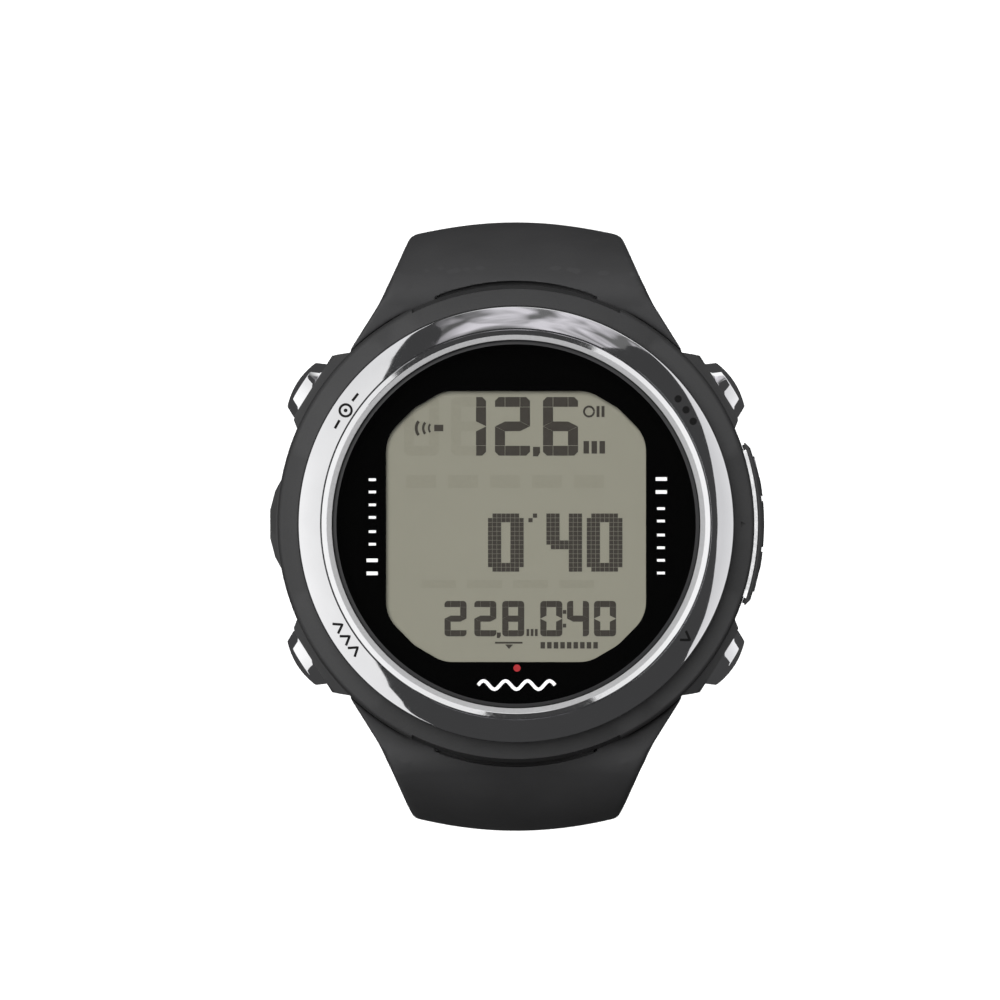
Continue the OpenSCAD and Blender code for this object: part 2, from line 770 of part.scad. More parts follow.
module strap_buckle_side() {
    color("dimgray") difference() {
        union() {
            strap_upper(40) buckle_half_outline();
            at_buckle() rotate([0, 90, 0]) translate([0, 0, -strap_w / 2])
                cylinder(r = strap_lip_r, h = strap_w);
        }
        strap_cuts();
        at_buckle() rotate([0, 90, 0]) translate([0, 0, -20]) cylinder(r = buckle_pin_r, h = 40);
        at_buckle() rotate([0, 90, 0]) translate([0, 0, -tongue_w / 2 - 0.3])
            cylinder(r = tongue_slot_r, h = tongue_w + 0.6);
    }
}

module strap_tail_side() {
    half = strap_w / 2;
    color("dimgray") mirror([0, 1, 0]) difference() {
        intersection() {
            strap_upper(40) tail_half_outline();
            union() {
                translate([-20, half - tail_past, -70]) cube([40, 80, 90]);
                translate([0, half - tail_past, -70]) cylinder(r = half, h = 90);
            }
        }
        strap_cuts();
        for (i = [1 : 6]) translate([0, hole_pitch * i - tail_past, -60]) cylinder(r = hole_r, h = 12);
        for (i = [1 : 2]) translate([0, tail_curl_centre[0], tail_curl_centre[1]])
            rotate([hole_turn * i - 180, 0, 0]) translate([0, 0, tail_curl_r - 8])
            cylinder(r = hole_r, h = 12);
    }
}

// Places a child on the strap's outer face on the curl: local Y runs on, local Z leaves the wrist.
module on_curl(heading) {
    translate([0, curl_centre[0], curl_centre[1]]) rotate([-90 - heading, 0, 0])
        translate([0, 0, buckle_curl[0]]) children();
}

module keeper(heading) {
    half = strap_w / 2 + keeper_gap;
    low = -strap_tip_t - keeper_gap;
    high = strap_tip_t + 0.6;
    color("dimgray") on_curl(heading) difference() {
        translate([-half - keeper_wall, -keeper_w / 2, low - keeper_wall])
            cube([2 * (half + keeper_wall), keeper_w, high - low + 2 * keeper_wall]);
        translate([-half, -keeper_w, low]) cube([2 * half, 2 * keeper_w, high - low]);
    }
}

module keeper_fixed() {
    keeper(fixed_keeper_at);
}

module keeper_free() {
    keeper(free_keeper_at);
}

module buckle_pin() {
    color("silver") at_buckle() rotate([0, 90, 0]) translate([0, 0, -buckle_arm_out + 0.2])
        cylinder(r = buckle_pin_r, h = 2 * buckle_arm_out - 0.4);
}

module buckle_frame() {
    color("silver") at_buckle() difference() {
        union() {
            for (s = [0, 1]) mirror([s, 0, 0]) {
                translate([buckle_arm_in, 0, 0]) rotate([0, 90, 0])
                    cylinder(r = 1.9, h = buckle_arm_out - buckle_arm_in);
                translate([buckle_arm_in, 0, -buckle_bar_r])
                    cube([buckle_arm_out - buckle_arm_in, buckle_reach, 2 * buckle_bar_r]);
            }
            translate([-buckle_arm_out, buckle_reach, 0]) rotate([0, 90, 0])
                cylinder(r = buckle_bar_r, h = 2 * buckle_arm_out);
        }
        rotate([0, 90, 0]) translate([0, 0, -20]) cylinder(r = buckle_pin_r + fit, h = 40);
    }
}

module buckle_tongue() {
    color("silver") at_buckle() difference() {
        union() {
            rotate([0, 90, 0]) translate([0, 0, -tongue_w / 2]) cylinder(r = 1.7, h = tongue_w);
            across(2.4) polygon([
                [0, 0.6], [0, 1.7], [9.6, 2.4], [11.6, 2.3], [12, 1.9], [11.8, 1.35], [9.6, 1.35]
            ]);
        }
        rotate([0, 90, 0]) translate([0, 0, -20]) cylinder(r = buckle_pin_r + fit, h = 40);
    }
}

case_body();
bezel_ring();
crystal();
crystal_gasket();
flange_ring();
dial_mask();
lcd_panel();
backlight_guide();
zebra_connectors();
module_frame();
main_pcb();
processor_chip();
quartz_can();
buzzer();
side_switches();
battery_tray();
battery_contact_minus();
battery_contact_plus();
coin_cell();
pressure_sensor();
sensor_trim();
sensor_cover();
sensor_cover_screws();
data_contacts();
rear_cover();
rear_cover_gasket();
rear_cover_screws();
battery_hatch();
hatch_o_ring();
button(BUTTONS[0]);  // button_upper_right
button(BUTTONS[1]);  // button_upper_left
button(BUTTONS[2]);  // button_lower_left
button(BUTTONS[3]);  // button_lower_right
button_spring(BUTTONS[0]);  // button_spring_upper_right
button_spring(BUTTONS[1]);  // button_spring_upper_left
button_spring(BUTTONS[2]);  // button_spring_lower_left
button_spring(BUTTONS[3]);  // button_spring_lower_right
button_clip(BUTTONS[0]);  // button_clip_upper_right
button_clip(BUTTONS[1]);  // button_clip_upper_left
button_clip(BUTTONS[2]);  // button_clip_lower_left
button_clip(BUTTONS[3]);  // button_clip_lower_right
button_o_rings();
lug_pins();
strap_buckle_side();
strap_tail_side();
keeper_fixed();
keeper_free();
buckle_pin();
buckle_frame();
buckle_tongue();
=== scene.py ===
"""Looks of a wrist dive computer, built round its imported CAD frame.

Lengths are millimetres and angles degrees until a mesh is made. Every piece
sits in the frame's own axes: +Z out of the display, +Y to 12 o'clock.
"""
import json
import math

import bmesh
import bpy
from mathutils import Matrix, Vector
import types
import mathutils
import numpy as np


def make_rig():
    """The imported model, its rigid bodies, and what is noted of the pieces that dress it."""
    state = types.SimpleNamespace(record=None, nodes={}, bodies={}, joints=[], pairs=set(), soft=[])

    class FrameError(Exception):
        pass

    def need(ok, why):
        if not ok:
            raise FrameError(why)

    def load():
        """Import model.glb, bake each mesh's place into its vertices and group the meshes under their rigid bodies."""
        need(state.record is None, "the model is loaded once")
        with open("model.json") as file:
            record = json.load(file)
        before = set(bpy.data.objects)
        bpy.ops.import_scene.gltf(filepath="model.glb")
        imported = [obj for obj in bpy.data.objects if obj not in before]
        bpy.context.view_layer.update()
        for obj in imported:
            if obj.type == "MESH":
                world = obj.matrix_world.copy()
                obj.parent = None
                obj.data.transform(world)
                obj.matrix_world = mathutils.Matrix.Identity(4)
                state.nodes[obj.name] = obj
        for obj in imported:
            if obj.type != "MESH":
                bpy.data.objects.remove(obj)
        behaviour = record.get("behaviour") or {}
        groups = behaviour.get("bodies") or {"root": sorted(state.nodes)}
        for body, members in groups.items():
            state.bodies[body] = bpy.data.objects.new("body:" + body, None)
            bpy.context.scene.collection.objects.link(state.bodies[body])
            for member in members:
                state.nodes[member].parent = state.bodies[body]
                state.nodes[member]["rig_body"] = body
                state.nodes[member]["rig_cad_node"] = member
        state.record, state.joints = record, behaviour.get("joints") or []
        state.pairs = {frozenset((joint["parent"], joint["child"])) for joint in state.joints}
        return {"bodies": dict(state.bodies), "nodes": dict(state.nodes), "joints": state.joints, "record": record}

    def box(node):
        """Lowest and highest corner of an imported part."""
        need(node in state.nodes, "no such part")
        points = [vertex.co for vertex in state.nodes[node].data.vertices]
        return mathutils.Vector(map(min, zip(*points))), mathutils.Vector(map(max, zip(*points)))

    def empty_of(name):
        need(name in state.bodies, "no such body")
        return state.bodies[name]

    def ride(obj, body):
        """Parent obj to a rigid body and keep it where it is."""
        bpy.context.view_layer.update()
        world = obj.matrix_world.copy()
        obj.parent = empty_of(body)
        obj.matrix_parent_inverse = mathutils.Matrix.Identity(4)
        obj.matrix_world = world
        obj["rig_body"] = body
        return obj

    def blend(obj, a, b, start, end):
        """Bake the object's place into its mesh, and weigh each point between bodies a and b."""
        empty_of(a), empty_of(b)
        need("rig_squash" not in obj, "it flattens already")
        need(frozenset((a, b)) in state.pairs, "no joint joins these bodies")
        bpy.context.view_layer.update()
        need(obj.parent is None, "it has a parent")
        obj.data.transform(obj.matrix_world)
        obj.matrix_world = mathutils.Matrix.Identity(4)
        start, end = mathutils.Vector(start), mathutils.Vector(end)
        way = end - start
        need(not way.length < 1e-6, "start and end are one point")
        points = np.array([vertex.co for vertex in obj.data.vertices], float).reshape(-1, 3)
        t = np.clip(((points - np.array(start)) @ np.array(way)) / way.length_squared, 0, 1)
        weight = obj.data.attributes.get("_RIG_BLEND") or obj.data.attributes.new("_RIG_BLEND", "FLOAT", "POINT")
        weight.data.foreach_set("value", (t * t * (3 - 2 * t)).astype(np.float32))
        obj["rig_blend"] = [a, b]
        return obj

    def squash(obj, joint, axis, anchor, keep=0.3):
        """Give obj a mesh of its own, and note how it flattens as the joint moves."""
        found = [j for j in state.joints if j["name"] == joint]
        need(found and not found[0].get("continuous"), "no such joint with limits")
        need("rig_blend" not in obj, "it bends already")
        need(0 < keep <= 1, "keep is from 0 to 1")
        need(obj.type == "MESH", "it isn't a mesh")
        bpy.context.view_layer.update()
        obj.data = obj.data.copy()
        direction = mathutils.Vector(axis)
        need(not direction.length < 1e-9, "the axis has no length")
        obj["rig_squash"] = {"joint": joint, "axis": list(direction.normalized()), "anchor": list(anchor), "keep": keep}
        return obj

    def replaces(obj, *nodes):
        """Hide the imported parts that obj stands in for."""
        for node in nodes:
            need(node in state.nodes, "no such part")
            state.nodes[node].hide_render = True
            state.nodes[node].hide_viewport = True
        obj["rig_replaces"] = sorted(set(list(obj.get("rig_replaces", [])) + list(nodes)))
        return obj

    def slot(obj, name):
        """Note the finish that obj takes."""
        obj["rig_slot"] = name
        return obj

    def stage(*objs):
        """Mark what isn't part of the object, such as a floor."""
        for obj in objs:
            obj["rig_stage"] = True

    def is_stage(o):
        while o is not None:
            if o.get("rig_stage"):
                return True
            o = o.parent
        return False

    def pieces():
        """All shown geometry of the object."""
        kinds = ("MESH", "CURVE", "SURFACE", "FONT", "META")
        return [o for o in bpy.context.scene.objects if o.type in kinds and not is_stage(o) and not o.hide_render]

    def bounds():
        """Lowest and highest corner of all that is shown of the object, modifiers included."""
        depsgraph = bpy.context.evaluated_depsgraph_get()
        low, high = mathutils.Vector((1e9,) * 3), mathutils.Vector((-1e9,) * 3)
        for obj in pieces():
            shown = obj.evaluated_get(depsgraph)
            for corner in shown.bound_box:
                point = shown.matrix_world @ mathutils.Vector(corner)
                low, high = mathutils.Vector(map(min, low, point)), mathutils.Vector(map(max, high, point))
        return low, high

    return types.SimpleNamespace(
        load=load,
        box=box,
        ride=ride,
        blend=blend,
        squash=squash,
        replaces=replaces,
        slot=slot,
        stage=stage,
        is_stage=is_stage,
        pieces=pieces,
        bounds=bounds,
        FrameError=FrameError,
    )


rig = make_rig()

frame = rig.load()
cad_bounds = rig.bounds()
MM = 0.001
SEGMENTS_ROUND = 288    # steps round the bezel and crystal


# ---- frame measures, in millimetres ----

def low_high(node):
    low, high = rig.box(node)
    return [c / MM for c in low], [c / MM for c in high]


def top_of(node):
    return low_high(node)[1][2]


def joint_pivot(name):
    joint = next(j for j in frame["joints"] if j["name"] == name)
    return [c / MM for c in joint["pos_m"]]


FLOOR_Z = cad_bounds[0][2] / MM
BEZEL_LOW, BEZEL_HIGH = low_high("bezel_ring")
BEZEL_R = BEZEL_HIGH[0]
BEZEL_TOP = BEZEL_HIGH[2]
MASK_LOW = low_high("dial_mask")[0][2]
MASK_TOP = top_of("dial_mask") + 0.3
MASK_R = 17.78
LCD_TOP = top_of("lcd_panel")
PIN_Y, PIN_Z = joint_pivot("strap_buckle_swing")[1:]
BUCKLE_Y, BUCKLE_Z = joint_pivot("buckle_frame_swing")[1:]
CURL_Y, CURL_Z = joint_pivot("keeper_free_slide")[1:]
CASE_R = 23.9
STRAP_REACH = -low_high("strap_tail_side")[0][1]
TAIL_END_Y = low_high("strap_tail_side")[1][1]


# ---- small tools ----

def sin(angle):
    return math.sin(math.radians(angle))


def cos(angle):
    return math.cos(math.radians(angle))


def mix(a, b, k):
    return a + (b - a) * k


def smooth(k):
    k = min(1.0, max(0.0, k))
    return k * k * (3 - 2 * k)


def placed(name, data):
    """A linked object that holds a mesh, a light or a camera."""
    obj = bpy.data.objects.new(name, data)
    bpy.context.scene.collection.objects.link(obj)
    return obj


def new_object(name, verts, faces, materials, face_slots=None, shade=True):
    """A mesh object from points in millimetres."""
    mesh = bpy.data.meshes.new(name)
    mesh.from_pydata([Vector(v) * MM for v in verts], [], faces)
    for material in materials:
        mesh.materials.append(material)
    if face_slots:
        mesh.polygons.foreach_set("material_index", face_slots)
    if shade:
        mesh.polygons.foreach_set("use_smooth", [True] * len(mesh.polygons))
    mesh.update()
    work = bmesh.new()
    work.from_mesh(mesh)
    bmesh.ops.recalc_face_normals(work, faces=work.faces)
    work.to_mesh(mesh)
    work.free()
    return placed(name, mesh)


def bake_modifiers(obj):
    """Applies an object's modifiers to its mesh."""
    bpy.context.view_layer.update()
    graph = bpy.context.evaluated_depsgraph_get()
    mesh = bpy.data.meshes.new_from_object(obj.evaluated_get(graph))
    obj.modifiers.clear()
    obj.data = mesh
    return obj


def ring_grid(rows, close_rows, close_ends=False):
    """Faces of a grid of rows with equal counts; each row is a closed loop."""
    count = len(rows[0])
    faces = []
    last = len(rows) if close_rows else len(rows) - 1
    for i in range(last):
        j = (i + 1) % len(rows)
        for k in range(count):
            m = (k + 1) % count
            faces.append((i * count + k, i * count + m, j * count + m, j * count + k))
    if close_ends:
        faces.append(tuple(range(count - 1, -1, -1)))
        faces.append(tuple((len(rows) - 1) * count + k for k in range(count)))
    return faces


def shell(rows, close_rows=False):
    """Points and faces of a closed skin over a grid of rows."""
    return [v for row in rows for v in row], ring_grid(rows, close_rows, not close_rows)


def lathe(name, profile, materials, slots):
    """Turns a closed (radius, height) outline about Z; each of its edges has a material slot."""
    rows = []
    for i in range(SEGMENTS_ROUND):
        angle = 360 * i / SEGMENTS_ROUND
        rows.append([(r * cos(angle), r * sin(angle), z) for r, z in profile])
    return new_object(name, *shell(rows, close_rows=True), materials, slots * SEGMENTS_ROUND)


def spun(profile, count, place):
    """Points and faces of a (radius, height) outline turned about its axis, where both ends lie."""
    turns = [360 * k / count for k in range(count)]
    rows = [[place(r * cos(a), r * sin(a), w) for a in turns] for r, w in profile[1:-1]]
    points = [v for row in rows for v in row]
    faces = ring_grid(rows, close_rows=False)
    for (_, w), row in ((profile[0], 0), (profile[-1], len(rows) - 1)):
        faces += [(len(points), row * count + k, row * count + (k + 1) % count) for k in range(count)]
        points.append(place(0, 0, w))
    return points, faces


def sharpen(obj, angle):
    """Keeps edges steeper than an angle sharp under smooth shading."""
    work = bmesh.new()
    work.from_mesh(obj.data)
    for edge in work.edges:
        edge.smooth = not (edge.is_manifold and edge.calc_face_angle(0) > math.radians(angle))
    work.to_mesh(obj.data)
    work.free()


def arc(centre, radius, start, end, steps):
    return [
        (centre[0] + radius * cos(mix(start, end, i / steps)),
         centre[1] + radius * sin(mix(start, end, i / steps)))
        for i in range(steps + 1)
    ]


def plates(name, outlines, place, thickness, material):
    """Thin closed prisms: place maps (x, y, height) of each outline point into the frame."""
    verts = []
    faces = []
    for outline in outlines:
        first = len(verts)
        n = len(outline)
        verts += [place(x, y, 0.0) for x, y in outline]
        verts += [place(x, y, thickness) for x, y in outline]
        faces.append(tuple(first + k for k in range(n - 1, -1, -1)))
        faces.append(tuple(first + n + k for k in range(n)))
        for k in range(n):
            m = (k + 1) % n
            faces.append((first + k, first + m, first + n + m, first + n + k))
    return new_object(name, verts, faces, [material], shade=False)


# ---- materials ----

class Shader:
    """A node material with helpers for its few repeated node groups."""

    def __init__(self, name, **inputs):
        self.material = bpy.data.materials.new(name)
        self.material.use_nodes = True
        self.tree = self.material.node_tree
        self.bsdf = self.tree.nodes["Principled BSDF"]
        self.coords = None
        for key, value in inputs.items():
            self.set(key.replace("_", " "), value)

    def set(self, socket, value):
        if isinstance(value, tuple) and len(value) == 3:
            value = (*value, 1.0)
        self.bsdf.inputs[socket].default_value = value

    def add(self, kind, **settings):
        node = self.tree.nodes.new(kind)
        for key, value in settings.items():
            setattr(node, key, value)
        return node

    def link(self, output, socket):
        self.tree.links.new(output, socket)

    def place(self, stretch=(1, 1, 1)):
        """Object coordinates in millimetres, stretched."""
        if self.coords is None:
            self.coords = self.add("ShaderNodeTexCoord")
        mapping = self.add("ShaderNodeMapping")
        mapping.inputs["Scale"].default_value = [s / MM for s in stretch]
        self.link(self.coords.outputs["Object"], mapping.inputs["Vector"])
        return mapping.outputs["Vector"]

    def noise(self, size, detail=3.0, roughness=0.55, stretch=(1, 1, 1)):
        """Noise with blobs about size millimetres across."""
        node = self.add("ShaderNodeTexNoise")
        node.inputs["Scale"].default_value = 1.0 / size
        node.inputs["Detail"].default_value = detail
        node.inputs["Roughness"].default_value = roughness
        self.link(self.place(stretch), node.inputs["Vector"])
        return node.outputs["Fac"]

    def ramp(self, value, stops):
        """Maps a value through (position, grey or colour) stops."""
        node = self.add("ShaderNodeValToRGB")
        elements = node.color_ramp.elements
        while len(elements) < len(stops):
            elements.new(0.5)
        for element, (position, colour) in zip(elements, stops):
            element.position = position
            if not isinstance(colour, tuple):
                colour = (colour, colour, colour)
            element.color = (*colour, 1.0)
        self.link(value, node.inputs["Fac"])
        return node.outputs["Color"]

    def blend(self, factor, first, second):
        """Mixes two colours; each may be an output or a colour."""
        node = self.add("ShaderNodeMix", data_type="RGBA")
        for socket, value in (("A", first), ("B", second)):
            target = next(s for s in node.inputs if s.name == socket and s.type == "RGBA")
            if isinstance(value, tuple):
                target.default_value = (*value, 1.0)
            else:
                self.link(value, target)
        self.link(factor, node.inputs["Factor"])
        return next(s for s in node.outputs if s.type == "RGBA")

    def bump(self, height, strength, depth):
        """Bumps the surface by height times depth millimetres."""
        node = self.add("ShaderNodeBump")
        node.inputs["Strength"].default_value = strength
        node.inputs["Distance"].default_value = depth * MM
        previous = self.bsdf.inputs["Normal"]
        if previous.is_linked:
            self.link(previous.links[0].from_socket, node.inputs["Normal"])
        self.link(height, node.inputs["Height"])
        self.link(node.outputs["Normal"], previous)

    def colour(self, output):
        self.link(output, self.bsdf.inputs["Base Color"])

    def rough(self, output):
        self.link(output, self.bsdf.inputs["Roughness"])


def shade_of(colour, k):
    return tuple(c * k for c in colour)


def moulded(name, colour, rough, grain, depth, wear=1.25, **inputs):
    """Moulded polymer: fine spark-eroded grain, cloudy tone and slightly polished edges."""
    shader = Shader(name, **inputs)
    cloud = shader.noise(5.0, 4.0)
    base = shader.ramp(cloud, [(0.3, shade_of(colour, 0.93)), (0.7, shade_of(colour, 1.07))])
    geometry = shader.add("ShaderNodeNewGeometry")
    edge = shader.ramp(geometry.outputs["Pointiness"], [(0.52, 0.0), (0.60, 1.0)])
    shader.colour(shader.blend(edge, base, shade_of(colour, wear)))
    shader.rough(shader.ramp(cloud, [(0.3, rough - 0.05), (0.7, rough + 0.05)]))
    shader.bump(shader.noise(grain, 2.0), 0.35, depth)
    shader.bump(shader.noise(grain * 6, 2.0), 0.2, depth * 2)
    return shader.material


def polished(name, colour, rough):
    """Polished steel: faint hand-buffing cloud and hairlines."""
    shader = Shader(name, Metallic=1.0)
    cloud = shader.noise(3.0, 4.0)
    shader.colour(shader.ramp(cloud, [(0.3, shade_of(colour, 0.97)), (0.7, colour)]))
    hair = shader.noise(0.35, 3.0, stretch=(1, 1, 0.12))
    shader.rough(shader.ramp(hair, [(0.35, rough), (0.75, rough * 2.2)]))
    shader.bump(shader.noise(1.2, 1.0), 0.05, 0.004)
    return shader.material


def satin(name, colour, rough, stretch):
    """Brushed metal with hairlines drawn out along the axis of least stretch."""
    shader = Shader(name, Metallic=1.0)
    hair = shader.noise(0.12, 4.0, 0.65, stretch)
    shader.colour(shader.ramp(hair, [(0.25, shade_of(colour, 0.86)), (0.75, colour)]))
    shader.rough(shader.ramp(hair, [(0.25, rough - 0.07), (0.75, rough + 0.09)]))
    shader.bump(hair, 0.25, 0.01)
    return shader.material


def crystal_clear(name):
    """Coated mineral glass as a clear sheet whose mirror share grows at glancing angles."""
    shader = Shader(name, Metallic=1.0, Base_Color=(0.98, 0.99, 1.0), Roughness=0.015)
    layer = shader.add("ShaderNodeLayerWeight")
    layer.inputs["Blend"].default_value = 0.5
    steep = shader.add("ShaderNodeMath", operation="POWER")
    steep.inputs[1].default_value = 5.0
    shader.link(layer.outputs["Facing"], steep.inputs[0])
    share = shader.add("ShaderNodeMath", operation="MULTIPLY_ADD")
    share.inputs[1].default_value = 0.9
    share.inputs[2].default_value = 0.012
    shader.link(steep.outputs[0], share.inputs[0])
    shader.link(share.outputs[0], shader.bsdf.inputs["Alpha"])
    return shader.material


def display_glass(name, colour):
    """Reflective display cell: grey-green with a fine speckle and faint electrode cloud."""
    shader = Shader(name, Roughness=0.42, Specular_IOR_Level=0.3)
    cloud = shader.noise(4.0, 3.0)
    tone = shader.ramp(cloud, [(0.3, shade_of(colour, 0.975)), (0.7, shade_of(colour, 1.025))])
    speck = shader.ramp(shader.noise(0.05, 1.0), [(0.35, 0.0), (0.65, 1.0)])
    shader.colour(shader.blend(speck, tone, shade_of(colour, 1.03)))
    shader.bump(shader.noise(0.08, 1.0), 0.1, 0.004)
    return shader.material


def ink(name, colour, rough=0.5, sheen=0.25, painted_glow=0.0):
    """A printed or liquid-crystal mark with an even, slightly mottled tone, and optionally painted glow: emission in
    the mark's own colour.
    """
    shader = Shader(name, Roughness=rough, Specular_IOR_Level=sheen, Emission_Strength=painted_glow,
                    Emission_Color=colour)
    shader.colour(shader.ramp(shader.noise(0.3), [(0.3, shade_of(colour, 0.94)), (0.7, colour)]))
    return shader.material


def circuit(name):
    """Solder mask with tracks showing through as slightly lighter lines."""
    shader = Shader(name, Roughness=0.35, Coat_Weight=0.3)
    tracks = shader.add("ShaderNodeTexBrick")
    tracks.inputs["Scale"].default_value = 0.7
    tracks.inputs["Mortar Size"].default_value = 0.05
    shader.link(shader.place(), tracks.inputs["Vector"])
    shader.colour(shader.blend(tracks.outputs["Fac"], (0.008, 0.09, 0.03), (0.03, 0.2, 0.07)))
    shader.bump(tracks.outputs["Fac"], 0.3, 0.02)
    return shader.material


def pale_floor(name):
    shader = Shader(name, Roughness=0.6)
    shader.colour(shader.ramp(shader.noise(60.0), [(0.3, (0.86, 0.86, 0.86)), (0.7, (0.9, 0.9, 0.9))]))
    return shader.material


CASE_POLYMER = moulded("case_polymer", (0.0375, 0.0375, 0.038), rough=0.52, grain=0.12, depth=0.03,
                       Specular_IOR_Level=0.36)
ELASTOMER = moulded("strap_elastomer", (0.041, 0.041, 0.042), rough=0.6, grain=0.16, depth=0.03,
                    wear=1.15)
SEAL = moulded("seal_rubber", (0.012, 0.012, 0.012), rough=0.45, grain=0.2, depth=0.01)
FRAME_PLASTIC = moulded("frame_plastic", (0.62, 0.6, 0.53), rough=0.5, grain=0.3, depth=0.02)
CHIP_RESIN = moulded("chip_resin", (0.015, 0.015, 0.016), rough=0.55, grain=0.1, depth=0.02)
STEEL = polished("polished_steel", (0.86, 0.86, 0.87), 0.035)
BRIGHT_STEEL = polished("bright_steel", (0.97, 0.97, 0.98), 0.035)
SATIN_STEEL = satin("satin_steel", (0.62, 0.62, 0.63), 0.3, (0.08, 1, 1))
NICKEL = satin("nickel", (0.66, 0.65, 0.61), 0.25, (1, 0.2, 1))
GOLD = satin("gold_flash", (0.83, 0.6, 0.28), 0.28, (1, 0.2, 1))
CRYSTAL = crystal_clear("crystal_glass")
GROUND_GLASS = moulded("ground_glass_edge", (0.055, 0.055, 0.056), rough=0.5, grain=0.1, depth=0.01,
                       wear=1.0)
MASK_INK = ink("mask_black", (0.0008, 0.0008, 0.0008), 0.7, sheen=0.0)
LCD = display_glass("lcd_green_grey", (0.269, 0.2615, 0.207))
LCD_INK = ink("lcd_segment", (0.046, 0.041, 0.034))
LCD_GHOST = ink("lcd_unlit", (0.2665, 0.259, 0.2045))
GUIDE = ink("light_guide", (0.8, 0.82, 0.8), 0.2)
WHITE_INK_PAINTED_GLOW = ink("white_print_painted_glow", (0.94, 0.94, 0.94), painted_glow=0.24)     # painted glow: the white print gives off light of its own so it reads pure white
RED_INK = ink("red_print", (0.45, 0.03, 0.035))
ENGRAVING = ink("engraved_black", (0.006, 0.006, 0.006), 0.6)
BOARD = circuit("circuit_board")
FLOOR = pale_floor("pale_floor")

NODE_MATERIALS = {     # no Blender piece stands for these nodes
    CASE_POLYMER: ["case_body", "rear_cover", "battery_hatch", "sensor_cover"],
    SATIN_STEEL: ["buckle_frame", "buckle_tongue", "buckle_pin", "lug_pins", "rear_cover_screws",
                  "sensor_cover_screws", "button_clip_upper_right", "button_clip_upper_left",
                  "button_clip_lower_left", "button_clip_lower_right"],
    SEAL: ["crystal_gasket", "rear_cover_gasket", "hatch_o_ring", "button_o_rings",
           "zebra_connectors"],
    MASK_INK: ["flange_ring"],
    FRAME_PLASTIC: ["module_frame", "battery_tray"],
    NICKEL: ["quartz_can", "side_switches", "coin_cell", "pressure_sensor"],
    GOLD: ["buzzer", "battery_contact_minus", "battery_contact_plus", "data_contacts"],
    LCD: ["lcd_panel"],
    GUIDE: ["backlight_guide"],
    BOARD: ["main_pcb"],
    CHIP_RESIN: ["processor_chip"],
}


def paint_nodes():
    """Gives the CAD nodes that stay visible their materials."""
    for material, names in NODE_MATERIALS.items():
        for name in names:
            mesh = frame["nodes"][name].data
            mesh.materials.clear()
            mesh.materials.append(material)


# ---- bezel ----

BAND_IN = 19.58         # the broad polished band
BAND_OUT = 21.64
BAND_TOP = 15.9
BAND_SLOPE_IN = 13.0
BAND_SLOPE_OUT = 37.0
RIDGE_IN = 18.95        # narrow polished ridge between the satin slope and the band
RIDGE_OUT = 19.38
RIDGE_SLOPE = 7.0
GROOVE_Z = 15.66        # floor of the groove between ridge and band
BORE_R = 18.95
LEDGE_R = 18.4          # the ledge over the crystal carries the satin slope
LEDGE_Z = 15.0
BORE_Z = 12.0
FOOT = (19.6, 20.6, 1.4)    # radii and depth of the foot under the seat
BAND_ROWS = 30


def band_slope(r):
    return mix(BAND_SLOPE_IN, BAND_SLOPE_OUT, (r - BAND_IN) / (BAND_OUT - BAND_IN))


def band_height(r):
    """Height of the band's face: the slope grows evenly from its inner to its outer edge."""
    steps = 24
    step = (r - BAND_IN) / steps
    return BAND_TOP - sum(math.tan(math.radians(band_slope(BAND_IN + (i + 0.5) * step))) * step
                          for i in range(steps))


def make_bezel():
    """Polished ring: seat, satin slope, ridge, fine groove, broad band and rolled edge."""
    seat = BEZEL_LOW[2]
    bright, grey = 0, 1
    ridge_top = BEZEL_TOP - 0.05
    ridge_end = ridge_top - (RIDGE_OUT - RIDGE_IN) * math.tan(math.radians(RIDGE_SLOPE))
    profile = [(BORE_R, BORE_Z), (BORE_R, LEDGE_Z), (LEDGE_R, LEDGE_Z), (LEDGE_R, ridge_top - 0.12),
               (LEDGE_R + 0.04, ridge_top - 0.08), (RIDGE_IN - 0.05, ridge_top - 0.05)]
    slots = [bright] * 3 + [grey, grey, bright]
    profile += [(RIDGE_IN, ridge_top), (RIDGE_OUT, ridge_end), (RIDGE_OUT + 0.03, ridge_end - 0.02),
                (BAND_IN - 0.12, GROOVE_Z), (BAND_IN - 0.08, GROOVE_Z), (BAND_IN - 0.03, BAND_TOP - 0.04)]
    band = [mix(BAND_IN, BAND_OUT, i / BAND_ROWS) for i in range(BAND_ROWS + 1)]
    profile += [(r, band_height(r)) for r in band]
    roll_r = (BEZEL_R - BAND_OUT) / (1 - sin(BAND_SLOPE_OUT))
    roll_at = (BEZEL_R - roll_r, band_height(BAND_OUT) - roll_r * cos(BAND_SLOPE_OUT))
    profile += arc(roll_at, roll_r, 90 - BAND_SLOPE_OUT, 0, 8)[1:]
    foot_in, foot_out, foot_depth = FOOT
    profile += [(BEZEL_R, seat + 0.3), (BEZEL_R - 0.2, seat), (foot_out, seat),
                (foot_out, seat - foot_depth), (foot_in, seat - foot_depth), (foot_in, seat)]
    slots += [bright] * (len(profile) - len(slots))
    bezel = lathe("bezel_polished", profile, [STEEL, BEZEL_SATIN], slots)
    sharpen(bezel, 12)
    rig.replaces(bezel, "bezel_ring")
    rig.slot(bezel, "polished_steel")
    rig.ride(bezel, "case")


def bezel_satin():
    """Bead-blasted slope: mostly diffuse, with a little sheen."""
    shader = Shader("bezel_satin", Metallic=0.2, Specular_IOR_Level=0.4)
    hair = shader.noise(0.2, 3.0)
    shader.colour(shader.ramp(hair, [(0.3, (0.42, 0.42, 0.425)), (0.7, (0.48, 0.48, 0.485))]))
    shader.rough(shader.ramp(hair, [(0.3, 0.5), (0.7, 0.6)]))
    shader.bump(hair, 0.2, 0.01)
    return shader.material


BEZEL_SATIN = bezel_satin()


